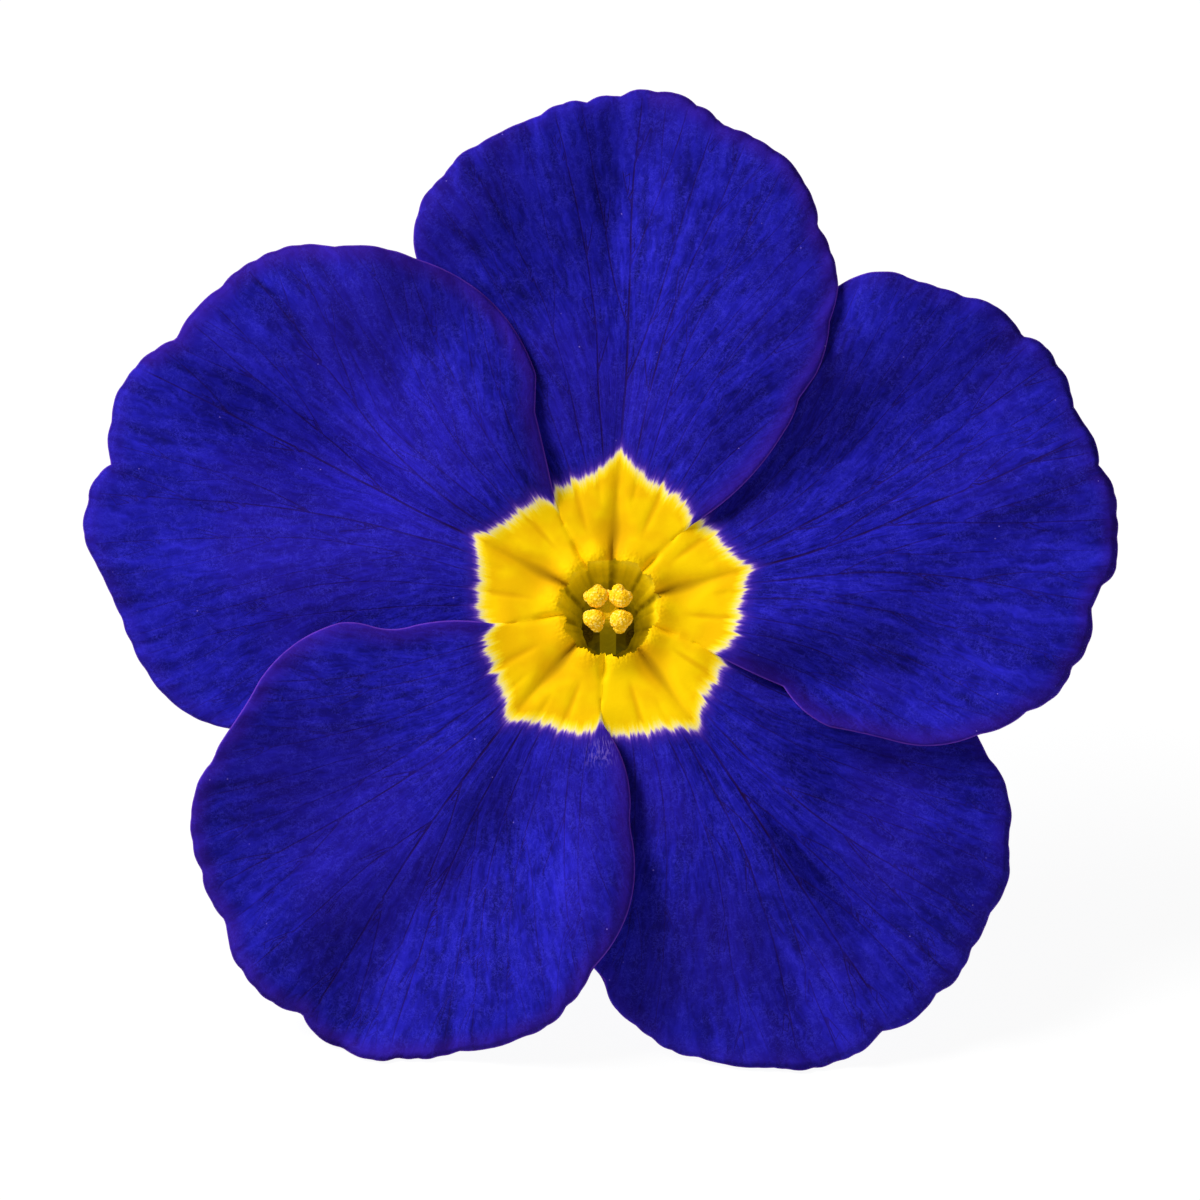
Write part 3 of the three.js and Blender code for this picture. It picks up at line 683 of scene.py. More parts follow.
def beside_veins(veins, net):
    """Signed distance to the nearest vein, plain distance to it, and its strength."""
    number, distance = nearest(veins[:, :2], net)
    hit = veins[number]
    off = net - hit[..., :2]
    return off[..., 0] * hit[..., 3] - off[..., 1] * hit[..., 2], distance, hit[..., 4]


def fanned(turn, reach):
    """The turn at which the streak of tissue through a point meets the rim.

    Streaks spread like the rays of a feather: fast beside the median, and less near the eye and the rim.
    """
    spread = coming_in(reach, FAN) * (1 - FAN["at_eye"]) + FAN["at_eye"]
    steep = (turn / FAN["softness"]).math("SINH") / spread
    return logarithm(steep + (steep * steep + 1).math("SQRT")) * FAN["softness"]


veins = {name: grown_veins(petal, seed) for seed, (name, petal) in enumerate(PETALS.items(), 61)}
print("points on veins:", {name: len(rows) for name, rows in veins.items()})

# %% [markdown]
# A sheet of petal is two copies of the net, one for each face, that share the points of their edge. It is
# thickest inside and thins to nothing at the margin, so the edge is rounded with no wall of its own. What
# the shader needs, such as the reach and the distance to the margin, is stored on the points. Where a petal
# lies under a neighbour it is pressed down, and where it would go below the table it is bent forward.

# %% Build the petals
SHEET = {"thickness": 0.3, "thins_within": 0.2, "edge_points": 1200}
UNDER = {"gap": 0.5, "within": 0.15, "fades_by": 2.6}
RESTING = {"clear": 0.13, "softness": 0.3}
EDGE_ROLL = {"within": 0.6, "drop": 0.03, "from_reach": 5, "full_reach": 8}
RUFFLE = {"height": 0.05, "per_degree": 1.7, "within": 1.4, "from_reach": 11, "full_reach": 14}
GRAINS = {"to_a_mm": 7.5, "height": 0.05, "fades_from": 2.15, "fades_by": 2.9}


def form_height(name, x, y):
    """Height in mm of a petal's middle surface, for places in the flat of the face."""
    petal, reach = PETALS[name], np.hypot(x, y)
    turn = turn_on(petal, x, y)
    across = across_petal(petal, turn)
    blade = blade_height(petal, reach, across)
    return blade + pleat_height(name, turn, reach) + eye_height(reach, turn, across)


def kept_below(name, x, y, height):
    """The height of a petal, pressed down wherever a neighbour lies over it."""
    names = list(PETALS)
    place = names.index(name)
    for side, other in zip(PETALS[name]["lay"], (names[(place + 1) % 5], names[place - 1])):
        if side < 0:
            off = nearest(nets[other][0].reshape(-1, 2), np.stack([x, y], axis=-1))[1]
            covered = 1 - smooth(off, UNDER["within"], UNDER["fades_by"])
            covered = covered * coming_in(np.hypot(x, y), LAYERS)
            excess = np.maximum(0, height + UNDER["gap"] - form_height(other, x, y))
            height = height - excess * covered
    return height


def kept_off_table(x, y, height):
    """The height of a petal, bent forward where it would go below the table."""
    row = np.array(face_to_world)[2] / MM
    table = (RESTING["clear"] - row[3] - row[0] * x - row[1] * y) / row[2]
    above = height - table
    return table + (above + np.hypot(above, RESTING["softness"])) / 2


def mesh_piece(name, points, faces, finish):
    """A smooth mesh object with one finish, which moves with the flower."""
    mesh = bpy.data.meshes.new(name)
    mesh.from_pydata(np.asarray(points).tolist(), [], faces)
    mesh.polygons.foreach_set("use_smooth", [True] * len(mesh.polygons))
    mesh.materials.append(finish)
    piece = bpy.data.objects.new(name, mesh)
    bpy.context.scene.collection.objects.link(piece)
    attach(piece, "root")
    return piece


def store(piece, name, values):
    """Keep a number on each point of a piece, for its shader."""
    layer = piece.data.attributes.new(name, "FLOAT", "POINT")
    layer.data.foreach_set("value", np.asarray(values, np.float32).ravel())


def sheet_faces(rows, columns):
    """Faces of a closed sheet, whose lower net shares the edge points of the upper one."""
    upper = np.arange((rows + 1) * (columns + 1)).reshape(rows + 1, columns + 1)
    lower = upper.copy()
    lower[1:-1, 1:-1] = upper.size + np.arange((rows - 1) * (columns - 1)).reshape(rows - 1, columns - 1)

    def cells(grid):
        return np.stack([grid[:-1, :-1], grid[:-1, 1:], grid[1:, 1:], grid[1:, :-1]], axis=-1).reshape(-1, 4)

    return np.concatenate([cells(upper), cells(lower)[:, ::-1]]).tolist()


def grains_on(x, y, reach):
    """Height of the small grains on the lobes round the throat."""
    height = np.zeros_like(reach)
    left = 1 - smooth(reach, GRAINS["fades_from"], GRAINS["fades_by"])
    for place in np.argwhere(left > 0):
        at = tuple(place)
        spot = Vector((x[at], y[at], 0)) * GRAINS["to_a_mm"]
        height[at] = GRAINS["height"] * left[at] * (0.6 - noise.voronoi(spot)[0][0])
    return height


def build_petal(number, name, finish):
    net, free_edge = nets[name]
    petal = PETALS[name]
    x, y = net[..., 0], net[..., 1]
    reach = np.hypot(x, y)
    turn = turn_on(petal, x, y)
    across = across_petal(petal, turn)
    margin = nearest(along(free_edge, np.linspace(0, 1, SHEET["edge_points"])), net)[1]
    vein_side, vein_near, vein_strength = beside_veins(veins[name], net)
    on_blade = coming_in(reach, QUILT)
    quilted = QUILT["height"] * smooth(vein_near, 0, QUILT["width"]) * on_blade * vein_strength
    edge = 1 - smooth(margin, 0, EDGE_ROLL["within"])
    roll = EDGE_ROLL["drop"] * edge * coming_in(reach, EDGE_ROLL)
    near_rim = 1 - smooth(margin, 0, RUFFLE["within"])
    ruffle = RUFFLE["height"] * np.sin(RUFFLE["per_degree"] * turn) * near_rim * coming_in(reach, RUFFLE)
    middle = kept_below(name, x, y, form_height(name, x, y))
    middle = kept_off_table(x, y, middle + quilted + ruffle - roll + grains_on(x, y, reach))
    inwards = np.minimum(margin, SHEET["thins_within"]) / SHEET["thins_within"]
    half = SHEET["thickness"] / 2 * np.sqrt(np.clip(1 - (1 - inwards) ** 2, 0, 1))
    upper = np.stack([x, y, middle + half], axis=-1)
    lower = np.stack([x, y, middle - half], axis=-1)[1:-1, 1:-1]
    points = placed(np.concatenate([upper.reshape(-1, 3), lower.reshape(-1, 3)]), face_to_world)
    rows, columns = net.shape[0] - 1, net.shape[1] - 1
    piece = mesh_piece(name + "_blade", points, sheet_faces(rows, columns), finish)
    for_shader = {
        "reach": reach,
        "turn": turn,
        "margin": margin,
        "past_eye": reach - eye_edge(petal, turn),
        "petal_number": np.full_like(reach, number),
        "over": np.where(across > 0, *petal["lay"]),
        "vein_side": vein_side,
        "vein_near": vein_near,
        "vein_strength": vein_strength,
        "in_valley": np.abs(turn) * reach * np.radians(1) / valley_width(reach),
    }
    for key, values in for_shader.items():
        store(piece, key, np.concatenate([values.ravel(), values[1:-1, 1:-1].ravel()]))
    store(piece, "underside", np.repeat([0, 1], [reach.size, lower.size // 3]))
    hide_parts(name)
    return piece


# %% [markdown]
# The petal's finish: a velvety ultramarine whose cells make fine streaks that run out from the eye, with fine
# curls of painted highlight. The veins are darker, the edges turn violet and end in one pale line, a painted
# highlight that also glows. The eye is painted on the same sheet, because on the real flower it is the same
# tissue: yellow, then cream in a feathered fringe, then blue. Its valleys and side folds carry painted
# golden-brown shade, and it glows with its own yellow over a darkened base, painted light that softens its
# shading.

# %% Finish of the petals
BLUES = [
    (0, linear(8, 5, 76)),
    (0.35, linear(17, 13, 118)),
    (0.62, linear(25, 22, 150)),
    (1, linear(38, 34, 186)),
]
WARM_BLUE = linear(38, 20, 142)
VIOLET = linear(50, 16, 122)
PALE_EDGE_HIGHLIGHT = linear(140, 80, 206)
RIM_GLOW = linear(120, 44, 210)
VEIN_DARK = linear(28, 7, 62)
CELL_SPARKLE = linear(62, 58, 212)
SPECK = linear(150, 124, 224)
SCUFF = linear(128, 102, 188)
YELLOW = linear(251, 206, 0)
YELLOW_DEEP = linear(240, 182, 0)
VALLEY_SHADE_GOLD = linear(220, 160, 0)
VALLEY_SHADE_BROWN = linear(124, 84, 0)
FRINGE = [
    (0, YELLOW),
    (0.34, linear(255, 216, 20)),
    (0.42, linear(252, 226, 92)),
    (0.49, linear(242, 224, 156)),
    (0.535, linear(176, 146, 190)),
    (0.58, linear(96, 62, 172)),
    (0.67, linear(50, 28, 146)),
    (1, linear(30, 22, 136)),
]
BACK_VIOLET = linear(84, 72, 176)
BACK_LIT = linear(110, 96, 198)
BACK_PALE = linear(214, 220, 196)


def ramp(wire, stops):
    """A colour from a number, through the colours of the stops."""
    return wire.node("ShaderNodeValToRGB", {"stops": stops}, {0: wire})


def eye_colours(past, turn, reach, own, in_valley):
    """Yellow with painted golden-brown shade in its valleys and side folds, then cream and violet in a
    feathered fringe.
    """
    golden = cloudy(own, 0.7, 2)
    yellow = mixed(smooth(golden, 0.35, 0.65) * 0.8, YELLOW, YELLOW_DEEP)
    # Painted shade: golden and dark brown along the median valleys, strongest towards the throat, and golden
    # along the side folds.
    into_throat = 1 - smooth(reach, 2.1, 5.5)
    beside_valley = (1 - smooth(in_valley, 0.3, 2.2)) * (0.3 + 0.4 * into_throat)
    yellow = mixed(beside_valley, yellow, VALLEY_SHADE_GOLD)
    line = (1 - smooth(in_valley, 0.05, 0.85)) * (0.1 + 0.62 * into_throat)
    yellow = mixed(line, yellow, VALLEY_SHADE_BROWN)
    folds = (1 - smooth(abs(abs(turn) - 20.5), 0.2, 2.6)) * smooth(reach, 3, 4.2) * 0.6
    yellow = mixed(folds, yellow, VALLEY_SHADE_GOLD)
    fringe = ramp(past * 0.5 + 0.5, FRINGE)
    return mixed(smooth(past, -0.6, -0.3), yellow, fringe)


def specks(own):
    """Tiny pale dots, at most one in each cell of a jittered grid, where the cell's own number is high."""
    cells = own.node("ShaderNodeTexVoronoi", {}, {"Vector": own, "Scale": 1.15}, out="Distance")
    number = own.node("ShaderNodeTexVoronoi", {}, {"Vector": own, "Scale": 1.15}, out="Color")
    kept = number.node("ShaderNodeSeparateColor", {}, {0: number})
    return (1 - smooth(cells, 0.02, 0.05)) * smooth(kept, 0.45, 0.75)


def scuffs(number, turn, reach, fine):
    """Pale scratches beside the eye, on the lower left petal alone, which is number 3."""
    place = (1 - smooth(abs(number - 3), 0.1, 0.4)) * (1 - smooth(abs(turn - 38), 2, 8))
    return place * (1 - smooth(abs(reach - 6.2), 0.3, 0.9)) * smooth(fine, 0.47, 0.62)


def curls(own, to_a_mm, width):
    """Fine curly lines: where a warped noise crosses its middle, in patches of another noise."""
    noise_of = {"Vector": own, "Scale": to_a_mm, "Detail": 1, "Distortion": 0.8}
    warped = own.node("ShaderNodeTexNoise", {}, noise_of)
    line = 1 - smooth(abs(warped - 0.5), 0.005, width)
    return line * smooth(cloudy(own, to_a_mm * 0.3, 1), 0.36, 0.62)


def petal_finish():
    finish, wire = new_finish("velvety blue petal and yellow eye")
    reach = attribute(wire, "reach")
    turn = attribute(wire, "turn")
    margin = attribute(wire, "margin")
    number = attribute(wire, "petal_number")
    own = place_in_mm(wire)

    # Streaks run along the veins, broad ones and fine ones, among soft blotches and fine curls of painted
    # highlight.
    line = fanned(turn, reach)
    far = logarithm(reach)
    swirl = cloudy(own, 1.1, 2) - 0.5
    broad = cloudy(vector_of(line * 0.2, far * 1.8, number * 7), 1, 2)
    streaks = cloudy(vector_of(line * 0.55 + swirl, far * 7, number * 3), 1, 3)
    fine = cloudy(vector_of(line * 1.5 + swirl * 3, far * 20 + swirl * 2, number * 5), 1, 3)
    grain = cloudy(own, 7, 3)
    tone = broad * 0.28 + streaks * 0.36 + fine * 0.29 + grain * 0.07
    blue = ramp((tone - 0.5) * 3.05 + 0.5, BLUES)
    blue = mixed(smooth(cloudy(own, 0.14, 2), 0.42, 0.66) * 0.35, blue, WARM_BLUE)
    blue = mixed(curls(own, 4.6, 0.07) * 0.2 + curls(own, 7.6, 0.08) * 0.2, blue, CELL_SPARKLE)

    # Violet near the margins, more of it where a margin lies over its neighbour.
    near_edge = 1 - smooth(margin, 0, 1.1)
    over = attribute(wire, "over") * 0.18 + 0.4
    blue = mixed(near_edge * over, blue, VIOLET)
    strength = attribute(wire, "vein_strength")
    half = strength * 0.05 + 0.015
    on_line = 1 - smooth(abs(attribute(wire, "vein_side")), half * 0.3, half)
    on_line = on_line * (1 - smooth(attribute(wire, "vein_near"), 0.18, 0.36))
    drawn = on_line * smooth(margin, 0.1, 1) * (strength * 0.7 + 0.22) * (cloudy(own, 0.7, 2) * 1.4 + 0.1)
    blue = mixed(drawn, blue, VEIN_DARK)
    blue = mixed(specks(own) * 0.5, blue, SPECK)
    blue = mixed(scuffs(number, turn, reach, fine) * 0.42, blue, SCUFF)
    # A pale line at the very edge is a painted highlight; it also glows faintly, painted light.
    rim_highlight = 1 - smooth(margin, 0.01, 0.08)
    blue = mixed(rim_highlight * 0.35, blue, PALE_EDGE_HIGHLIGHT)

    # The eye's border is feathered by noise that changes quickly round the eye and slowly outwards.
    feather = cloudy(vector_of(turn * 0.9, reach * 0.7, number), 1, 3) - 0.5
    loose = cloudy(vector_of(turn * 0.35, reach * 0.3, number), 1, 1) - 0.5
    past = attribute(wire, "past_eye") + feather * 0.6 + loose * 0.4
    eye = eye_colours(past, turn, reach, own, attribute(wire, "in_valley"))
    front = mixed(smooth(past, 0.12, 0.95), eye, blue)

    # The back is paler, with a greenish white middle.
    back_streaks = mixed(smooth(tone, 0.4, 0.6), BACK_VIOLET, BACK_LIT)
    back = mixed(smooth(reach + broad * 3, 5, 10), BACK_PALE, back_streaks)
    back = mixed(drawn * 0.6, back, VIOLET)
    colour = mixed(attribute(wire, "underside"), front, back)
    # The eye's base colour is darkened, and the eye and the pale edge line glow with their own colour:
    # painted light.
    on_blue = smooth(past, 0, 0.6)
    relief = (tone - drawn * 0.3) * on_blue + cloudy(own, 5, 2) * 0.15 * (1 - on_blue)
    black = (0, 0, 0, 1)
    glow = mixed(on_blue, eye, mixed(rim_highlight * 0.35, black, RIM_GLOW))
    colour = mixed((1 - on_blue) * 0.26, colour, black)
    return surface(finish, wire, glowing(colour, 0.8, 0.05, glow, 0.24), relief, 0.05)


velvet = petal_finish()
petals = [build_petal(i + 1, name, velvet) for i, name in enumerate(PETALS)]
print("petal points:", [len(p.data.vertices) for p in petals])

# %% [markdown]
# The tube that the petals run into is a slender funnel. Seen from the front only its inside shows, an olive
# well with a crease below each crease of the rim; from the side it is pale and runs down into the calyx. One
# closed profile, carried round the throat, makes both: down the inside, up the outside and out under the eye.

# %% Build the corolla tube
TUBE = {"length": 16.8, "wall": 0.5, "full_lean_depth": 4, "from_depth": 0.8, "sides": 250, "steps": 80}
WAIST = {"narrowing": 0.95, "by_depth": 3}
SWELLING = {"height": 0.65, "depth": 8, "length": 2.4}
FOOT = {"widening": 0.4, "from_depth": 11.5}
FLARE = {"from_depth": 2.2, "reach": 3.7, "steps": 12, "sunk": 0.14, "lip": 0.07, "overlap": 0.5}
FLUTES = {"share": 0.13, "depth": 0.12, "at_notch": 0.6, "gone_by": 9, "between": 0.018}
FLUTE_WAVES = ((23, 1, 1), (37, 0.7, 2), (14, 0.6, 0))
POCKET = {"depth": 0.36, "at": 2.2, "length": 1.6, "turn": 272, "width": 56, "painted_shade_width": 38}


def outward(mesh):
    """Turn every face of a closed mesh to look out."""
    shell = bmesh.new()
    shell.from_mesh(mesh)
    bmesh.ops.recalc_face_normals(shell, faces=shell.faces)
    shell.to_mesh(mesh)
    shell.free()


def ring_faces(count, sides, joined):
    """Faces between rings. The last ring is joined to the first, or both ends are closed by one face."""
    near = np.arange(count * sides).reshape(count, sides)
    after = np.roll(near, -1, axis=1)
    walls = np.stack([near, after, np.roll(after, -1, axis=0), np.roll(near, -1, axis=0)], axis=-1)
    if joined:
        return walls.reshape(-1, 4).tolist()
    return [*walls[:-1].reshape(-1, 4).tolist(), near[0].tolist(), near[-1][::-1].tolist()]


def tube_radius(depth):
    waist = WAIST["narrowing"] * smooth(depth, 0, WAIST["by_depth"])
    swelling = SWELLING["height"] * hump(depth - SWELLING["depth"], SWELLING["length"])
    foot = FOOT["widening"] * smooth(depth, FOOT["from_depth"], TUBE["length"])
    return THROAT["mouth"] - waist + swelling + foot


def on_tube(radius, depth, angle):
    """A point on the ring at a depth down the leaning tube, in the flower's frame."""
    lean = TUBE_LEAN * np.minimum(1, depth / TUBE["full_lean_depth"])
    up = radius * np.sin(angle)
    y = up * np.cos(lean) - depth * np.sin(TUBE_LEAN)
    z = -up * np.sin(lean) - depth * np.cos(TUBE_LEAN)
    return np.stack([radius * np.cos(angle), y, z], axis=-1)


def face_at(angles):
    """The turn and the share of the petal that each angle of the face falls in, in degrees."""
    turns, shares = np.zeros(angles.shape), np.full(angles.shape, 2.0)
    for petal in PETALS.values():
        turn = (angles - petal["median"] + 180) % 360 - 180
        across = across_petal(petal, turn)
        found = np.abs(across) < np.abs(shares)
        turns, shares = np.where(found, turn, turns), np.where(found, across, shares)
    return turns, shares


def build_tube(finish):
    degrees_round = np.linspace(0, 360, TUBE["sides"], endpoint=False)
    angle = np.radians(degrees_round)
    turn, across = face_at(degrees_round)
    at_notch = FLUTES["at_notch"] * hump(1 - np.abs(across), FLUTES["share"])
    creased = hump(across, FLUTES["share"]) + at_notch
    between = sum(part * np.sin(count * angle + start) for count, part, start in FLUTE_WAVES)
    creased = creased + FLUTES["between"] / FLUTES["depth"] * between
    edge = throat_edge(degrees_round)
    lowest = (degrees_round - POCKET["turn"] + 180) % 360 - 180
    pocket = POCKET["depth"] * hump(lowest, POCKET["width"])

    def on_sheet(reach):
        height = dish(reach) + eye_height(reach, turn, across) - FLARE["sunk"]
        return np.stack([reach * np.cos(angle), reach * np.sin(angle), height], axis=-1)

    depths = np.linspace(TUBE["from_depth"], TUBE["length"], TUBE["steps"])
    inner = []
    for depth in depths:
        left = 1 - smooth(depth, 0, FLUTES["gone_by"])
        hollow = FLUTES["depth"] * creased * left + pocket * hump(depth - POCKET["at"], POCKET["length"])
        inner.append(on_tube(tube_radius(depth) + hollow, depth, angle))
    outer_depths = [depth for depth in depths[::-1] if depth > FLARE["from_depth"]]
    outer = [on_tube(tube_radius(depth) + TUBE["wall"], depth, angle) for depth in outer_depths]
    root = on_tube(tube_radius(FLARE["from_depth"]) + TUBE["wall"], FLARE["from_depth"], angle)
    tip = on_sheet(np.full_like(angle, FLARE["reach"]))
    flare = []
    for step in np.linspace(0, np.pi / 2, FLARE["steps"]):
        level = root + (tip - root) * (1 - np.cos(step))
        level[:, 2] = root[:, 2] + (tip[:, 2] - root[:, 2]) * np.sin(step)
        flare.append(level)
    rings = [on_sheet(edge + FLARE["lip"]), *inner, *outer, *flare, on_sheet(edge + FLARE["overlap"])]
    points = placed(np.stack(rings), face_to_world)
    faces = ring_faces(len(rings), TUBE["sides"], True)
    piece = mesh_piece("corolla_funnel", points, faces, finish)
    outward(piece.data)
    inside = np.zeros((len(rings), TUBE["sides"]))
    inside[: len(inner) + 1] = 1
    depth_of = [0, *depths, *outer_depths, *np.linspace(FLARE["from_depth"], 0, len(flare)), 0]
    store(piece, "inside", inside)
    store(piece, "depth", np.repeat(depth_of, TUBE["sides"]))
    store(piece, "crease", np.tile(creased, len(rings)))
    # Where the painted shade under the lower rim lies.
    store(piece, "lowest", np.tile(hump(lowest, POCKET["painted_shade_width"]), len(rings)))
    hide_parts("corolla_tube")
    return piece


def tube_finish():
    finish, wire = new_finish("olive throat and pale tube")
    depth = attribute(wire, "depth")
    crease = attribute(wire, "crease")
    inside = attribute(wire, "inside")
    own = place_in_mm(wire)
    streaks = cloudy(own, 1.6, 3)
    # Painted shade: the olive inside darkens with depth, in its creases and most of all under the lower rim.
    olive = mixed(smooth(depth, 0.1, 2.6), linear(210, 176, 4), linear(138, 116, 2))
    olive = mixed(smooth(crease, -0.1, 1) * 0.75, olive, linear(92, 72, 0))
    olive = mixed(smooth(streaks, 0.4, 0.7) * 0.3, olive, linear(222, 190, 8))
    olive = mixed(attribute(wire, "lowest") * 0.9, olive, linear(52, 38, 0))
    pale = mixed(smooth(depth + streaks * 2, 1, 8), linear(206, 208, 130), linear(222, 226, 176))
    colour = mixed(inside, pale, olive)
    # The inside glows with its own olive near the mouth: painted light.
    glow = mixed(inside * (1 - 0.75 * smooth(depth, 1, 6)), (0, 0, 0, 1), olive)
    return surface(finish, wire, glowing(colour, 0.5, 0.12, glow, 0.42), streaks, 0.02)


funnel = build_tube(tube_finish())
print("tube points:", len(funnel.data.vertices))

# %% [markdown]
# The stigma is the pollen catcher in the mouth of the throat: four soft lumps round a low cap, covered with
# beads. The lumps are separate balls at first. A voxel remesh melts them into one body, and a cell pattern
# then pushes its skin out into beads. The shader paints their tops paler, as painted highlights, and the
# gaps between them darker, as painted shade.

# %% Build the stigma
STIGMA_LUMPS = [
    ((-0.52, 0.42, -0.14), (0.44, 0.44, 0.42)),
    ((-0.44, 0.74, -0.2), (0.24, 0.22, 0.28)),
    ((-0.84, 0.46, -0.2), (0.22, 0.24, 0.28)),
    ((-0.26, 0.5, -0.12), (0.26, 0.3, 0.3)),
    ((0.56, 0.38, -0.14), (0.42, 0.4, 0.42)),
    ((0.44, 0.74, -0.16), (0.26, 0.25, 0.28)),
    ((0.82, 0.44, -0.18), (0.24, 0.24, 0.28)),
    ((0.26, 0.44, -0.12), (0.22, 0.3, 0.3)),
    ((-0.6, -0.52, -0.12), (0.46, 0.4, 0.44)),
    ((-0.82, -0.42, -0.18), (0.26, 0.26, 0.28)),
    ((-0.5, -0.82, -0.2), (0.27, 0.27, 0.28)),
    ((0.53, -0.56, -0.12), (0.45, 0.44, 0.44)),
    ((0.82, -0.5, -0.16), (0.24, 0.28, 0.28)),
    ((0.5, -0.88, -0.2), (0.28, 0.27, 0.28)),
    ((0, 0.58, -0.34), (0.3, 0.16, 0.26)),
    ((-0.04, 0, -0.62), (0.5, 0.62, 0.36)),
]
BEADS = {"to_a_mm": 9, "height": 0.028, "fill": 0.62, "voxel": 0.024,
         "smooth_below": -0.3, "full_above": -0.16}


def remeshed(balls, voxel):
    """Points and faces of ellipsoids melted into one body, in mm."""
    melt = bmesh.new()
    for centre, radii in balls:
        place = Matrix.Translation(centre) @ Matrix.Diagonal((*radii, 1))
        bmesh.ops.create_icosphere(melt, subdivisions=4, radius=1, matrix=place)
    mesh = bpy.data.meshes.new("melt")
    melt.to_mesh(mesh)
    melt.free()
    lump = bpy.data.objects.new("melt", mesh)
    bpy.context.scene.collection.objects.link(lump)
    remesh = lump.modifiers.new("remesh", "REMESH")
    remesh.mode = "VOXEL"
    remesh.voxel_size = voxel
    soften = lump.modifiers.new("soften", "SMOOTH")
    soften.iterations = 4
    melted = bpy.data.meshes.new_from_object(lump.evaluated_get(bpy.context.evaluated_depsgraph_get()))
    bpy.data.objects.remove(lump)
    return melted


def build_stigma(finish):
    body = remeshed(STIGMA_LUMPS, BEADS["voxel"])
    skin = [(vertex.co.copy(), vertex.normal.copy()) for vertex in body.vertices]
    points, tops, crown = [], [], []
    for place, normal in skin:
        near = noise.voronoi(place * BEADS["to_a_mm"])[0][0] / BEADS["fill"]
        rise = place.z + 0.25 * (place.xy.length - 0.5)
        beaded = float(smooth(rise, BEADS["smooth_below"], BEADS["full_above"]))
        bead = beaded * math.sqrt(max(0, 1 - near * near))
        points.append(place + normal * BEADS["height"] * bead)
        tops.append(bead)
        crown.append(beaded)
    faces = [list(polygon.vertices) for polygon in body.polygons]
    piece = mesh_piece("stigma_lumps", placed(points, face_to_world), faces, finish)
    store(piece, "bead", tops)
    store(piece, "crown", crown)
    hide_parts("stigma")
    return piece


def stigma_finish():
    finish, wire = new_finish("beaded yellow stigma")
    bead = attribute(wire, "bead")
    own = place_in_mm(wire)
    patch = cloudy(own, 2.6, 2)
    # Painted shade in the gaps between the beads and painted highlights on their tops, with a faint glow of
    # its own colour, painted light.
    gaps = mixed(patch, linear(230, 174, 6), linear(243, 190, 14))
    gaps = mixed(attribute(wire, "crown"), linear(200, 176, 6), gaps)
    tops = mixed(smooth(patch, 0.38, 0.62), linear(246, 196, 30), linear(250, 214, 98))
    colour = mixed(smooth(bead, 0.4, 0.95), gaps, tops)
    return surface(finish, wire, glowing(colour, 0.6, 0.08, colour, 0.14), cloudy(own, 14, 2), 0.01)


stigma = build_stigma(stigma_finish())
print("stigma points:", len(stigma.data.vertices))

# %% [markdown]
# Below the stigma one round column, the style, goes down to the ovary at the foot of the tube. Such a turned
# form is a profile of depth and radius, eased through its points and carried round.

# %% Build the pistil
OVARY = {"radius": 1.15, "top": 14.2, "base": 16.9}
STYLE = {"radius": 0.4, "top": 0.35}
PISTIL_PROFILE = [
    (OVARY["base"], 0.05),
    (OVARY["base"] - 0.02, 0.55 * OVARY["radius"]),
    (OVARY["base"] - 0.5, 0.92 * OVARY["radius"]),
    ((OVARY["base"] + OVARY["top"]) / 2, OVARY["radius"]),
    (OVARY["top"] + 0.6, 0.9 * OVARY["radius"]),
    (OVARY["top"] + 0.15, 0.62 * OVARY["radius"]),
    (OVARY["top"] - 0.3, STYLE["radius"]),
    (9, 0.9 * STYLE["radius"]),
    (4, 0.92 * STYLE["radius"]),
    (1.2, STYLE["radius"]),
    (0.7, 1.12 * STYLE["radius"]),
    (STYLE["top"], 0.9 * STYLE["radius"]),
]


def eased(profile, steps):
    """A rounded line through points: each stretch is a Catmull-Rom curve."""
    knots = np.array([profile[0], *profile, profile[-1]], float)
    share = np.linspace(0, 1, steps, endpoint=False)[:, None]
    runs = []
    for before, start, stop, after in zip(knots, knots[1:], knots[2:], knots[3:]):
        bend = 2 * before - 5 * start + 4 * stop - after
        twist = 3 * (start - stop) + after - before
        runs.append(start + 0.5 * share * (stop - before + share * (bend + share * twist)))
    return np.concatenate([*runs, [profile[-1]]])


def turned(profile, sides):
    """Rings of a turned form, from depths and radii."""
    angle = np.linspace(0, 2 * np.pi, sides, endpoint=False)
    depth, radius = profile[:, :1], profile[:, 1:]
    return np.stack([radius * np.cos(angle), radius * np.sin(angle), -depth + 0 * angle], axis=-1)


def build_pistil(finish):
    rings = turned(eased(PISTIL_PROFILE, 10), 48)
    points = placed(rings, tube_to_world)
    piece = mesh_piece("style_and_ovary", points, ring_faces(*rings.shape[:2], False), finish)
    outward(piece.data)
    store(piece, "depth", np.repeat(-rings[:, 0, 2], rings.shape[1]))
    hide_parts("pistil")
    return piece


def pistil_finish():
    finish, wire = new_finish("smooth green style")
    depth = attribute(wire, "depth")
    own = place_in_mm(wire)
    streaks = cloudy(own, 2.2, 3)
    # Painted shade: the column is paler at its top and darker down the tube, and it glows a little with its
    # own colour, painted light.
    column = mixed(smooth(depth, 0.4, 2.4), linear(226, 190, 8), linear(176, 150, 8))
    colour = mixed(smooth(depth, 12.5, 14.5), column, linear(150, 176, 80))
    colour = mixed(smooth(streaks, 0.4, 0.7) * 0.3, colour, linear(206, 180, 24))
    return surface(finish, wire, glowing(colour, 0.4, 0.15, colour, 0.3), streaks, 0.015)


pistil = build_pistil(pistil_finish())
print("pistil points:", len(pistil.data.vertices))

# %% [markdown]
# Five stamens stand half way down the tube, one below each petal. Each is two swollen pollen sacs with a
# furrow along them, on a short filament from the wall. The sacs are melted together like the stigma.

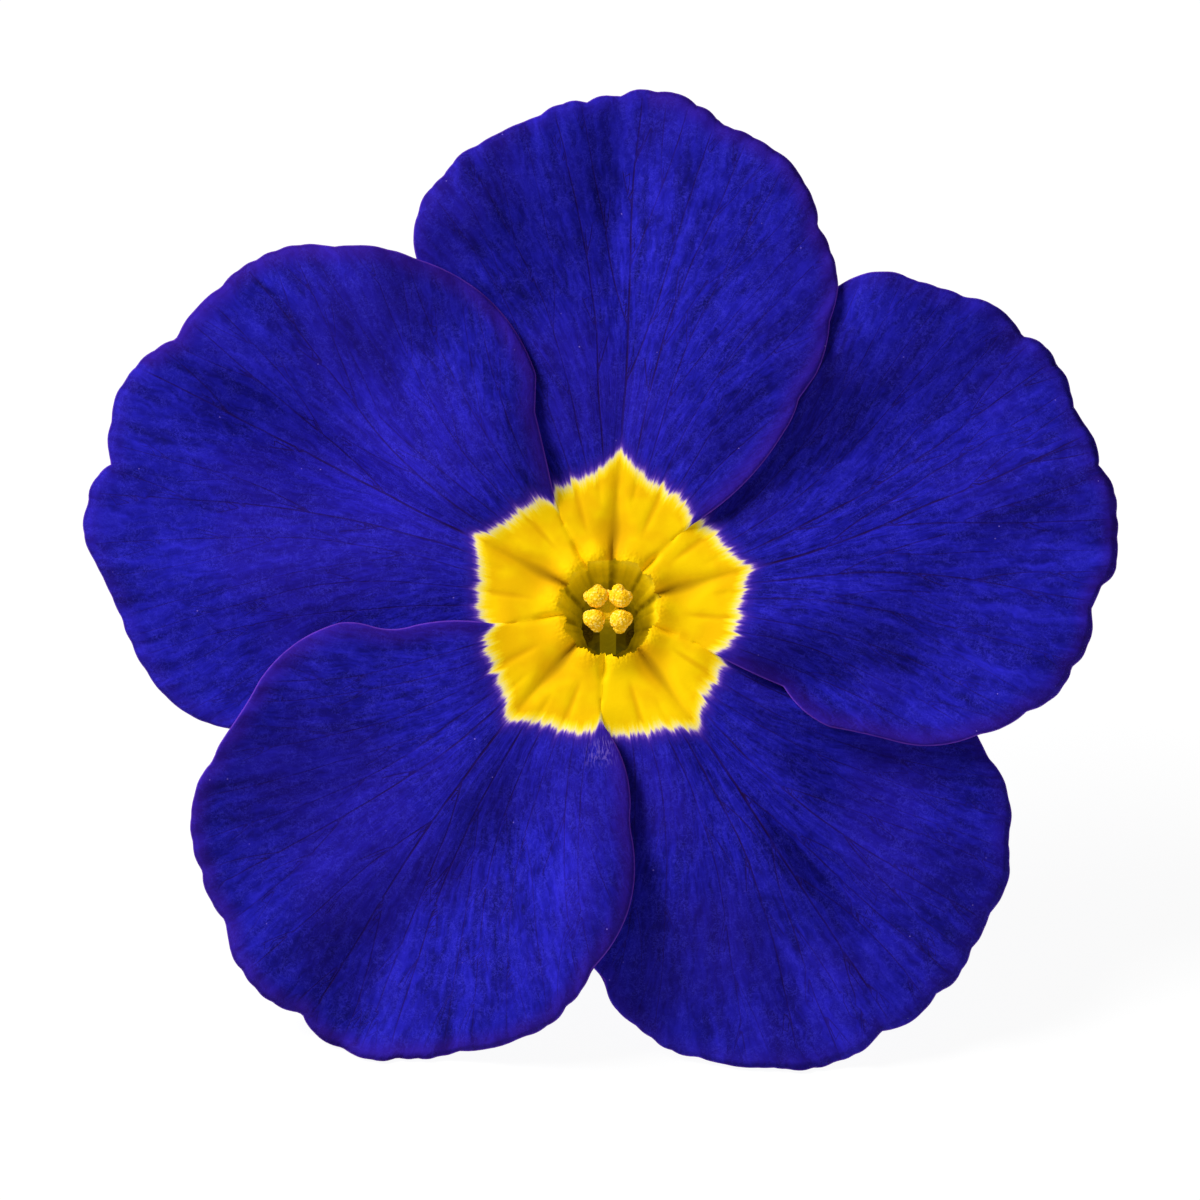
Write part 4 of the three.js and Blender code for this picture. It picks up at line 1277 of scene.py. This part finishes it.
# %% Build the stamens
ANTHER = {"radius": 0.3, "length": 2, "circle": 1.2, "sac_spread": 0.8, "voxel": 0.035}
POLLEN = {"to_a_mm": 8, "height": 0.03}


def stamen_balls():
    """Ellipsoids that overlap along each sac, and a row of small ones for the filament."""
    balls = []
    half = ANTHER["length"] / 2 - ANTHER["radius"]
    for side in (-1, 1):
        for along_sac in np.linspace(-half, half, 9):
            girth = ANTHER["radius"] * (1 - 0.12 * (along_sac / half) ** 2)
            centre = (ANTHER["circle"], side * ANTHER["sac_spread"] * ANTHER["radius"], along_sac)
            balls.append((centre, (girth, girth * 0.86, ANTHER["radius"])))
    wall = tube_radius(SWELLING["depth"]) - 0.18
    for out in np.linspace(ANTHER["circle"] + 0.1, wall, 4):
        balls.append(((out, 0, -0.2), (0.16, 0.13, 0.14)))
    return balls


def build_stamens(finish):
    body = remeshed(stamen_balls(), ANTHER["voxel"])
    skin = []
    for vertex in body.vertices:
        near = noise.voronoi(vertex.co * POLLEN["to_a_mm"])[0][0]
        skin.append(vertex.co + vertex.normal * POLLEN["height"] * (1 - near))
    faces = [list(polygon.vertices) for polygon in body.polygons]
    for number, petal in enumerate(PETALS.values(), start=1):
        below_petal = Matrix.Rotation(math.radians(petal["median"]), 4, "Z")
        place = Matrix.Translation((0, 0, -SWELLING["depth"])) @ below_petal
        points = placed(skin, tube_to_world @ place)
        piece = mesh_piece(f"stamen_{number}_sacs", points, faces, finish)
        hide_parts(f"stamen_{number}")
    return len(skin)


def anther_finish():
    finish, wire = new_finish("powdery anther in olive painted shade")
    own = place_in_mm(wire)
    powder = cloudy(own, 11, 2)
    # A darkened olive that stands for the anthers in the shade of the tube, painted shade, with a faint glow
    # of painted light.
    colour = mixed(smooth(powder, 0.35, 0.65), linear(96, 76, 8), linear(130, 106, 20))
    return surface(finish, wire, glowing(colour, 0.85, 0.1, colour, 0.1), powder, 0.02)


print("points in each stamen:", build_stamens(anther_finish()))

# %% [markdown]
# The calyx is the green cup that holds the tube. It has five keels, which run out into pointed teeth, and it
# is covered with short hairs. Its rings go up the outside, over the teeth and down the inside, with the top
# ring cut in five points by the same formula that the solid has.

# %% Build the calyx
CALYX = {"teeth": 5, "sides_per_tooth": 44, "rows": 56, "tip": 4.6, "floor": 17.1, "base": 18.7}
TOOTH = {"length": 4.2, "roundness": 0.8, "spread": 0.55, "spread_from": 0.75}
CALYX_WALL = {"inner": 2.55, "thickness": 0.62, "foot": 0.54, "foot_share": 0.3, "thinned": 0.62,
              "thins_from": 0.55}
FOLDS = {"height": 0.05, "count": 15, "grow": (0.2, 0.5), "fade": (0.8, 1)}
KEEL = {"height": 0.4, "full_share": 0.5, "fade": 0.6, "sharpness": 2.2}
HAIR = {"scatter": 0.28, "bend": 0.25, "rings": ((-0.05, 0.026, 0), (0.55, 0.016, 0.3))}


def calyx_rings():
    sides = CALYX["teeth"] * CALYX["sides_per_tooth"]
    side = np.arange(sides)
    turn = 2 * np.pi * side / sides
    half = CALYX["sides_per_tooth"] / 2
    on_tooth = 1 - np.abs(side % CALYX["sides_per_tooth"] - half) / half
    top = CALYX["tip"] + TOOTH["length"] * (1 - on_tooth ** TOOTH["roundness"])
    rings = []
    for outside in (True, False):
        shares = np.linspace(0, 1, CALYX["rows"] + 1)
        for share in shares if outside else shares[::-1]:
            start = CALYX["base"] if outside else CALYX["floor"]
            depth = start + share * (top - start)
            spread = TOOTH["spread"] * smooth(share, TOOTH["spread_from"], 1) * on_tooth
            thinned = CALYX_WALL["thinned"] * smooth(share, CALYX_WALL["thins_from"], 1)
            keel = KEEL["height"] * on_tooth ** KEEL["sharpness"] * smooth(share, 0, KEEL["full_share"])
            inner = CALYX_WALL["inner"] + spread
            outer = inner + CALYX_WALL["thickness"] * (1 - thinned) + keel * (1 - KEEL["fade"] * share)
            round_in = smooth(share, -CALYX_WALL["foot_share"] / 3, CALYX_WALL["foot_share"])
            folds_left = smooth(share, *FOLDS["grow"]) * (1 - smooth(share, *FOLDS["fade"]))
            folds = FOLDS["height"] * np.cos(FOLDS["count"] * turn) * folds_left
            beyond_foot = (outer + folds - CALYX_WALL["foot"]) * round_in
            radius = CALYX_WALL["foot"] + beyond_foot if outside else inner
            rings.append(np.stack([radius * np.cos(turn), radius * np.sin(turn), -depth], axis=-1))
    return np.stack(rings), on_tooth


def hairs(name, places, normals, count, length, finish, seed):
    """Fine curved hairs: each a three-sided spike in two steps, rooted on one of these places."""
    rng = np.random.default_rng(seed)
    chosen = rng.integers(0, len(places), count)
    root = places[chosen]
    out = normals[chosen] + rng.normal(0, HAIR["scatter"], (count, 3))
    out /= np.linalg.norm(out, axis=1)[:, None]
    side = np.cross(out, rng.normal(0, 1, (count, 3)))
    side /= np.linalg.norm(side, axis=1)[:, None]
    reach = length * rng.uniform(0.5, 1, (count, 1))
    bend = side * reach * HAIR["bend"]
    over_table = placed(root + out * reach + bend, tube_to_world)[:, 2] > 0
    root, out, side, reach, bend = (values[over_table] for values in (root, out, side, reach, bend))
    third = np.cross(out, side)
    count = len(root)
    points, faces = [], []
    corners = [(np.cos(a), np.sin(a)) for a in (0, 2 * np.pi / 3, 4 * np.pi / 3)]
    for height, radius, curve in HAIR["rings"]:
        for c, s in corners:
            points.append(root + out * reach * height + bend * curve + (side * c + third * s) * radius)
    points.append(root + out * reach + bend)
    for k in range(3):
        after = (k + 1) % 3
        faces += [(k, after, 3 + after, 3 + k), (3 + k, 3 + after, 6)]
    points = np.stack(points, axis=1).reshape(-1, 3)
    stems = [tuple(7 * hair + corner for corner in face) for hair in range(count) for face in faces]
    roots = [(7 * hair + 2, 7 * hair + 1, 7 * hair) for hair in range(count)]
    piece = mesh_piece(name, placed(points, tube_to_world), stems + roots, finish)
    outward(piece.data)
    return piece


def ring_normals(rings):
    """Directions that look out of each point of a body of rings."""
    round_it = np.roll(rings, -1, axis=1) - np.roll(rings, 1, axis=1)
    along_it = np.gradient(rings, axis=0)
    normals = np.cross(round_it, along_it)
    return normals / np.maximum(np.linalg.norm(normals, axis=-1, keepdims=True), 1e-9)


def green_finish(name, shade, light):
    finish, wire = new_finish(name)
    own = place_in_mm(wire)
    blotch = cloudy(own, 0.6, 3)
    cells = cloudy(own, 9, 2)
    colour = mixed(smooth(blotch * 0.7 + cells * 0.3, 0.35, 0.65), shade, light)
    return surface(finish, wire, {"Base Color": colour, "Roughness": 0.55}, cells, 0.02)


def calyx_finish():
    finish, wire = new_finish("pale green calyx with darker keels")
    own = place_in_mm(wire)
    keel = attribute(wire, "keel")
    depth = attribute(wire, "depth")
    blotch = cloudy(own, 0.5, 3)
    cells = cloudy(own, 8, 2)
    pale = mixed(smooth(blotch, 0.35, 0.7), linear(176, 196, 120), linear(196, 210, 146))
    green = mixed(cells, linear(104, 138, 56), linear(128, 160, 72))
    colour = mixed(smooth(keel, 0.45, 0.85) * 0.75, pale, green)
    colour = mixed(1 - smooth(depth, 4.6, 8), colour, green)
    return surface(finish, wire, {"Base Color": colour, "Roughness": 0.6}, cells * 0.4 + blotch, 0.04)


def build_calyx(finish, hair_finish):
    rings, on_tooth = calyx_rings()
    count, sides = rings.shape[:2]
    faces = ring_faces(count, sides, False)
    piece = mesh_piece("calyx_cup", placed(rings, tube_to_world), faces, finish)
    outward(piece.data)
    store(piece, "keel", np.tile(on_tooth, count))
    store(piece, "depth", -rings[..., 2])
    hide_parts("calyx")
    outside = slice(3, CALYX["rows"] - 1)
    places = rings[outside].reshape(-1, 3)
    normals = ring_normals(rings)[outside].reshape(-1, 3)
    down = np.sign((normals[:, :2] * places[:, :2]).sum(1))[:, None]
    hairs("calyx_hairs", places, normals * down, 2600, 0.5, hair_finish, 11)
    return piece


hair_finish = green_finish("pale hairs", linear(206, 216, 176), linear(232, 236, 210))
calyx = build_calyx(calyx_finish(), hair_finish)
print("calyx points:", len(calyx.data.vertices))

# %% [markdown]
# The pedicel is the stalk of the single flower. It bends until it lies level and ends where it was picked,
# in a cut with a moist, paler pith. It is a round section carried along that bend.

# %% Build the pedicel
PEDICEL = {"radius": 0.9, "sunk": 0.15, "bend_radius": 10.3, "straight": 3.5, "rings": 64, "sides": 40,
           "ribs": 5, "rib_depth": 0.025}

# Rings of the cut end: share of the radius, how far it stands out in mm, and how much of it is pith
CUT = ((0.97, 0.03, 0.3), (0.9, 0.02, 0.8), (0.7, -0.04, 1), (0.35, -0.02, 1), (0.08, -0.02, 1))


def pedicel_line():
    """Centre points and directions from the calyx to the cut, in the tube's frame."""
    bend = math.pi / 2 - (FACE_TILT - TUBE_LEAN)
    arc = PEDICEL["bend_radius"] * bend
    far = np.linspace(0, arc + PEDICEL["straight"], PEDICEL["rings"])
    turn = np.minimum(far, arc) / PEDICEL["bend_radius"]
    past = np.maximum(0, far - arc)
    top = -CALYX["base"] + PEDICEL["sunk"]
    y = PEDICEL["bend_radius"] * (1 - np.cos(turn)) + past * math.sin(bend)
    z = top - PEDICEL["bend_radius"] * np.sin(turn) - past * math.cos(bend)
    centre = np.stack([0 * far, y, z], axis=-1)
    direction = np.stack([0 * far, np.sin(turn), -np.cos(turn)], axis=-1)
    return centre, direction


def build_pedicel(finish, hair_finish):
    centre, direction = pedicel_line()
    angle = np.linspace(0, 2 * np.pi, PEDICEL["sides"], endpoint=False)
    sideways = np.array([1.0, 0, 0])
    over = np.cross(direction, sideways)
    ribs = 1 - PEDICEL["rib_depth"] * (1 - np.cos(PEDICEL["ribs"] * angle))
    circle = np.cos(angle)[None, :, None] * sideways + np.sin(angle)[None, :, None] * over[:, None, :]
    rings = centre[:, None, :] + PEDICEL["radius"] * ribs[None, :, None] * circle
    cut = [centre[-1] + depth * direction[-1] + PEDICEL["radius"] * share * ribs[:, None] * circle[-1]
           for share, depth, _ in CUT]
    whole = np.concatenate([rings, np.stack(cut)])
    points = placed(whole, tube_to_world)
    piece = mesh_piece("pedicel_stalk", points, ring_faces(*whole.shape[:2], False), finish)
    outward(piece.data)
    pith = np.concatenate([np.zeros(len(rings)), [share for *_, share in CUT]])
    store(piece, "pith", np.repeat(pith, PEDICEL["sides"]))
    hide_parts("pedicel")
    places = rings[2:-2].reshape(-1, 3)
    normals = np.broadcast_to(circle, rings.shape)[2:-2].reshape(-1, 3)
    hairs("pedicel_hairs", places, normals, 1500, 0.55, hair_finish, 12)
    return piece


def pedicel_finish():
    finish, wire = new_finish("juicy green stalk")
    own = place_in_mm(wire)
    blotch = cloudy(own, 0.45, 3)
    cells = cloudy(own, 8, 2)
    skin = mixed(smooth(blotch, 0.35, 0.7), linear(128, 152, 74), linear(168, 178, 104))
    colour = mixed(attribute(wire, "pith"), skin, linear(214, 222, 168))
    return surface(finish, wire, {"Base Color": colour, "Roughness": 0.45}, cells * 0.5 + blotch, 0.03)


stalk = build_pedicel(pedicel_finish(), hair_finish)
print("pedicel points:", len(stalk.data.vertices))

# %% [markdown]
# The camera looks straight at the face, from far off with a long lens, as close-up pictures of flowers are
# taken. It is turned a little with the flower, so that the picture's up is the flower's own.

# %% The camera
PICTURE = {"width_mm": 51.9, "middle": (-0.35, 0.3)}
CAMERA_DISTANCE = 250
SENSOR = 36

camera = bpy.data.objects.new("camera", bpy.data.cameras.new("camera"))
bpy.context.scene.collection.objects.link(camera)
camera.data.sensor_width = SENSOR
camera.data.lens = SENSOR * CAMERA_DISTANCE / PICTURE["width_mm"]
camera.data.clip_start = 0.01
camera.data.clip_end = 10
camera.rotation_mode = "QUATERNION"
camera.rotation_quaternion = face_turn.to_quaternion()
camera.location = face_to_world @ Vector((*PICTURE["middle"], CAMERA_DISTANCE))
bpy.context.scene.camera = camera
print("lens:", round(camera.data.lens), "mm")

# %% [markdown]
# The table is a large sheet that glows a little, so that it stays as white as a well lit ground. The light is
# soft: a broad panel from the upper left of the picture models the folds, a weak one from the lower right
# opens their shadows, and a pale sky fills in from all round.

# %% Table and light
TABLE_SIZE = 1.6
TABLE_GLOW = 0.94
SKY_STRENGTH = 0.2
PANELS = (
    ("upper_left_panel", (-536, 536, 414), 390, 11),
    ("lower_right_fill", (480, -460, 300), 300, 3.4),
)


def pale_table():
    finish, wire = new_finish("pale table")
    tone = cloudy(place_in_mm(wire), 0.02, 2)
    colour = mixed(tone, (0.06, 0.06, 0.06, 1), (0.08, 0.08, 0.08, 1))
    surface(finish, wire, glowing(colour, 0.9, 0.1, (1, 1, 1, 1), TABLE_GLOW))
    half = TABLE_SIZE / 2
    mesh = bpy.data.meshes.new("table_top")
    corners = [(-half, -half, 0), (half, -half, 0), (half, half, 0), (-half, half, 0)]
    mesh.from_pydata(corners, [], [(0, 1, 2, 3)])
    mesh.materials.append(finish)
    table = bpy.data.objects.new("table_top", mesh)
    bpy.context.scene.collection.objects.link(table)


def light_panel(name, at, size, power):
    """A square area light at a place in the flower's frame, which looks at the throat."""
    lamp = bpy.data.lights.new(name, "AREA")
    lamp.size = size * MM
    lamp.energy = power
    panel = bpy.data.objects.new(name, lamp)
    bpy.context.scene.collection.objects.link(panel)
    panel.location = face_to_world @ Vector(at)
    towards = THROAT_PLACE - panel.location
    panel.rotation_mode = "QUATERNION"
    panel.rotation_quaternion = towards.to_track_quat("-Z", "Y")


pale_table()
for panel in PANELS:
    light_panel(*panel)
sky = bpy.data.worlds.new("pale sky")
sky.use_nodes = True
sky.node_tree.nodes["Background"].inputs["Color"].default_value = (1, 1, 1, 1)
sky.node_tree.nodes["Background"].inputs["Strength"].default_value = SKY_STRENGTH
bpy.context.scene.world = sky
bpy.context.scene.view_settings.view_transform = "Standard"
